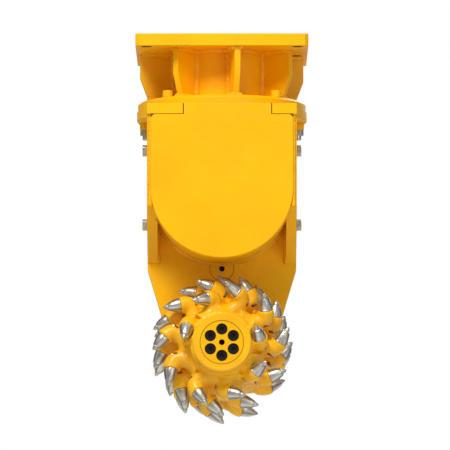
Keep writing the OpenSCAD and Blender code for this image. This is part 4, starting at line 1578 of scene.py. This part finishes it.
@dataclass
class Studio:
    """Camera, lights, floor and background."""

    distance: float = 17.5
    rise_deg: float = -5.5
    aim: Triple = (0.009, 0.0, -0.532)
    lens: float = 479.5
    sensor: float = 36.0
    view_depth: float = 200.0
    floor_z: float = -2.75
    floor_half: float = 40.0
    floor_tone: Triple = (0.86, 0.86, 0.86)
    floor_rough: float = 0.7
    background: Triple = (1.0, 1.0, 1.0)
    background_strength: float = 1.0
    ambient_strength: float = 0.27
    lamps: tuple[Lamp, ...] = (
        Lamp("key", (-1.5, -4.3, 4.0), 2.2, 350),
        Lamp("fill", (3.5, -6.0, 0.4), 3.0, 60),
        Lamp("back", (1.5, 5.5, 2.5), 4.0, 230),
    )

    def build(self) -> None:
        """Build the camera, the lights, the floor and the background."""
        self.build_camera()
        self.build_floor()
        self.build_background()
        for lamp in self.lamps:
            self.hang(lamp)

    def build_camera(self) -> None:
        """Stand the camera where the photograph was taken from."""
        camera = bpy.data.cameras.new("camera")
        camera.lens = self.lens
        camera.sensor_width = self.sensor
        camera.clip_end = self.view_depth
        eye = bpy.data.objects.new("camera", camera)
        rise = math.radians(self.rise_deg)
        back = Vector((0, -math.cos(rise), math.sin(rise)))
        eye.location = Vector(self.aim) + back * self.distance
        eye.rotation_euler = (-back).to_track_quat("-Z", "Y").to_euler()
        bpy.context.scene.collection.objects.link(eye)
        bpy.context.scene.camera = eye

    def build_floor(self) -> None:
        """Lay a pale floor well below the cutter."""
        half, z = self.floor_half, self.floor_z
        mesh = bpy.data.meshes.new("floor")
        corners = [(-half, -half, z), (half, -half, z), (half, half, z), (-half, half, z)]
        mesh.from_pydata(corners, [], [(0, 1, 2, 3)])
        floor = new_object("floor", mesh)
        material = bpy.data.materials.new("floor")
        material.use_nodes = True
        shader = material.node_tree.nodes["Principled BSDF"]
        shader.inputs["Base Color"].default_value = (*self.floor_tone, 1)
        shader.inputs["Roughness"].default_value = self.floor_rough
        paint(floor, material)

    def build_background(self) -> None:
        """Show a plain white background, and light the cutter with a dimmer one."""
        world = bpy.data.worlds.new("studio")
        world.use_nodes = True
        tree = NodeTree(world.node_tree)
        sky = world.node_tree.nodes["Background"]
        sky.inputs["Color"].default_value = (*self.background, 1)
        seen = tree.add("ShaderNodeLightPath").outputs["Is Camera Ray"]
        extra = self.background_strength - self.ambient_strength
        strength = tree.math("MULTIPLY_ADD", seen, extra, self.ambient_strength)
        tree.join(strength, sky.inputs["Strength"])
        bpy.context.scene.world = world
        bpy.context.scene.view_settings.view_transform = "Standard"

    def hang(self, lamp: Lamp) -> None:
        """Hang a light so that it faces the cutter.

        Args:
            lamp: The light.
        """
        data = bpy.data.lights.new(lamp.name, "AREA")
        data.shape = "SQUARE"
        data.size = lamp.size
        data.energy = lamp.power
        light = bpy.data.objects.new(lamp.name, data)
        light.location = lamp.place
        away = Vector(lamp.place) - Vector(self.aim)
        light.rotation_euler = away.to_track_quat("Z", "Y").to_euler()
        bpy.context.scene.collection.objects.link(light)


def dress_nodes(palette: Palette) -> None:
    """Give every CAD node the finish that its slot asks for, and log those that still show.

    Args:
        palette: The finishes.
    """
    blackened = ("hub_screws", "idler_shaft")
    for name, node in frame["nodes"].items():
        paint(node, palette["black_oxide_and_shade"] if name in blackened else palette.of_node(name))
        if not node.hide_render:
            LOG.info("%s keeps its CAD shape", name)


def main() -> None:
    """Build the studio and the cutter."""
    logging.basicConfig(level=logging.INFO, format="%(name)s: %(message)s")
    Studio().build()
    shop = Workshop()
    Adapter().build(shop)
    Housing().build(shop)
    layout = PickLayout()
    for side in Side:
        Drum(side, layout).build(shop)
    Hub().build(shop)
    dress_nodes(shop.palette)


if __name__ == "__main__":
    main()
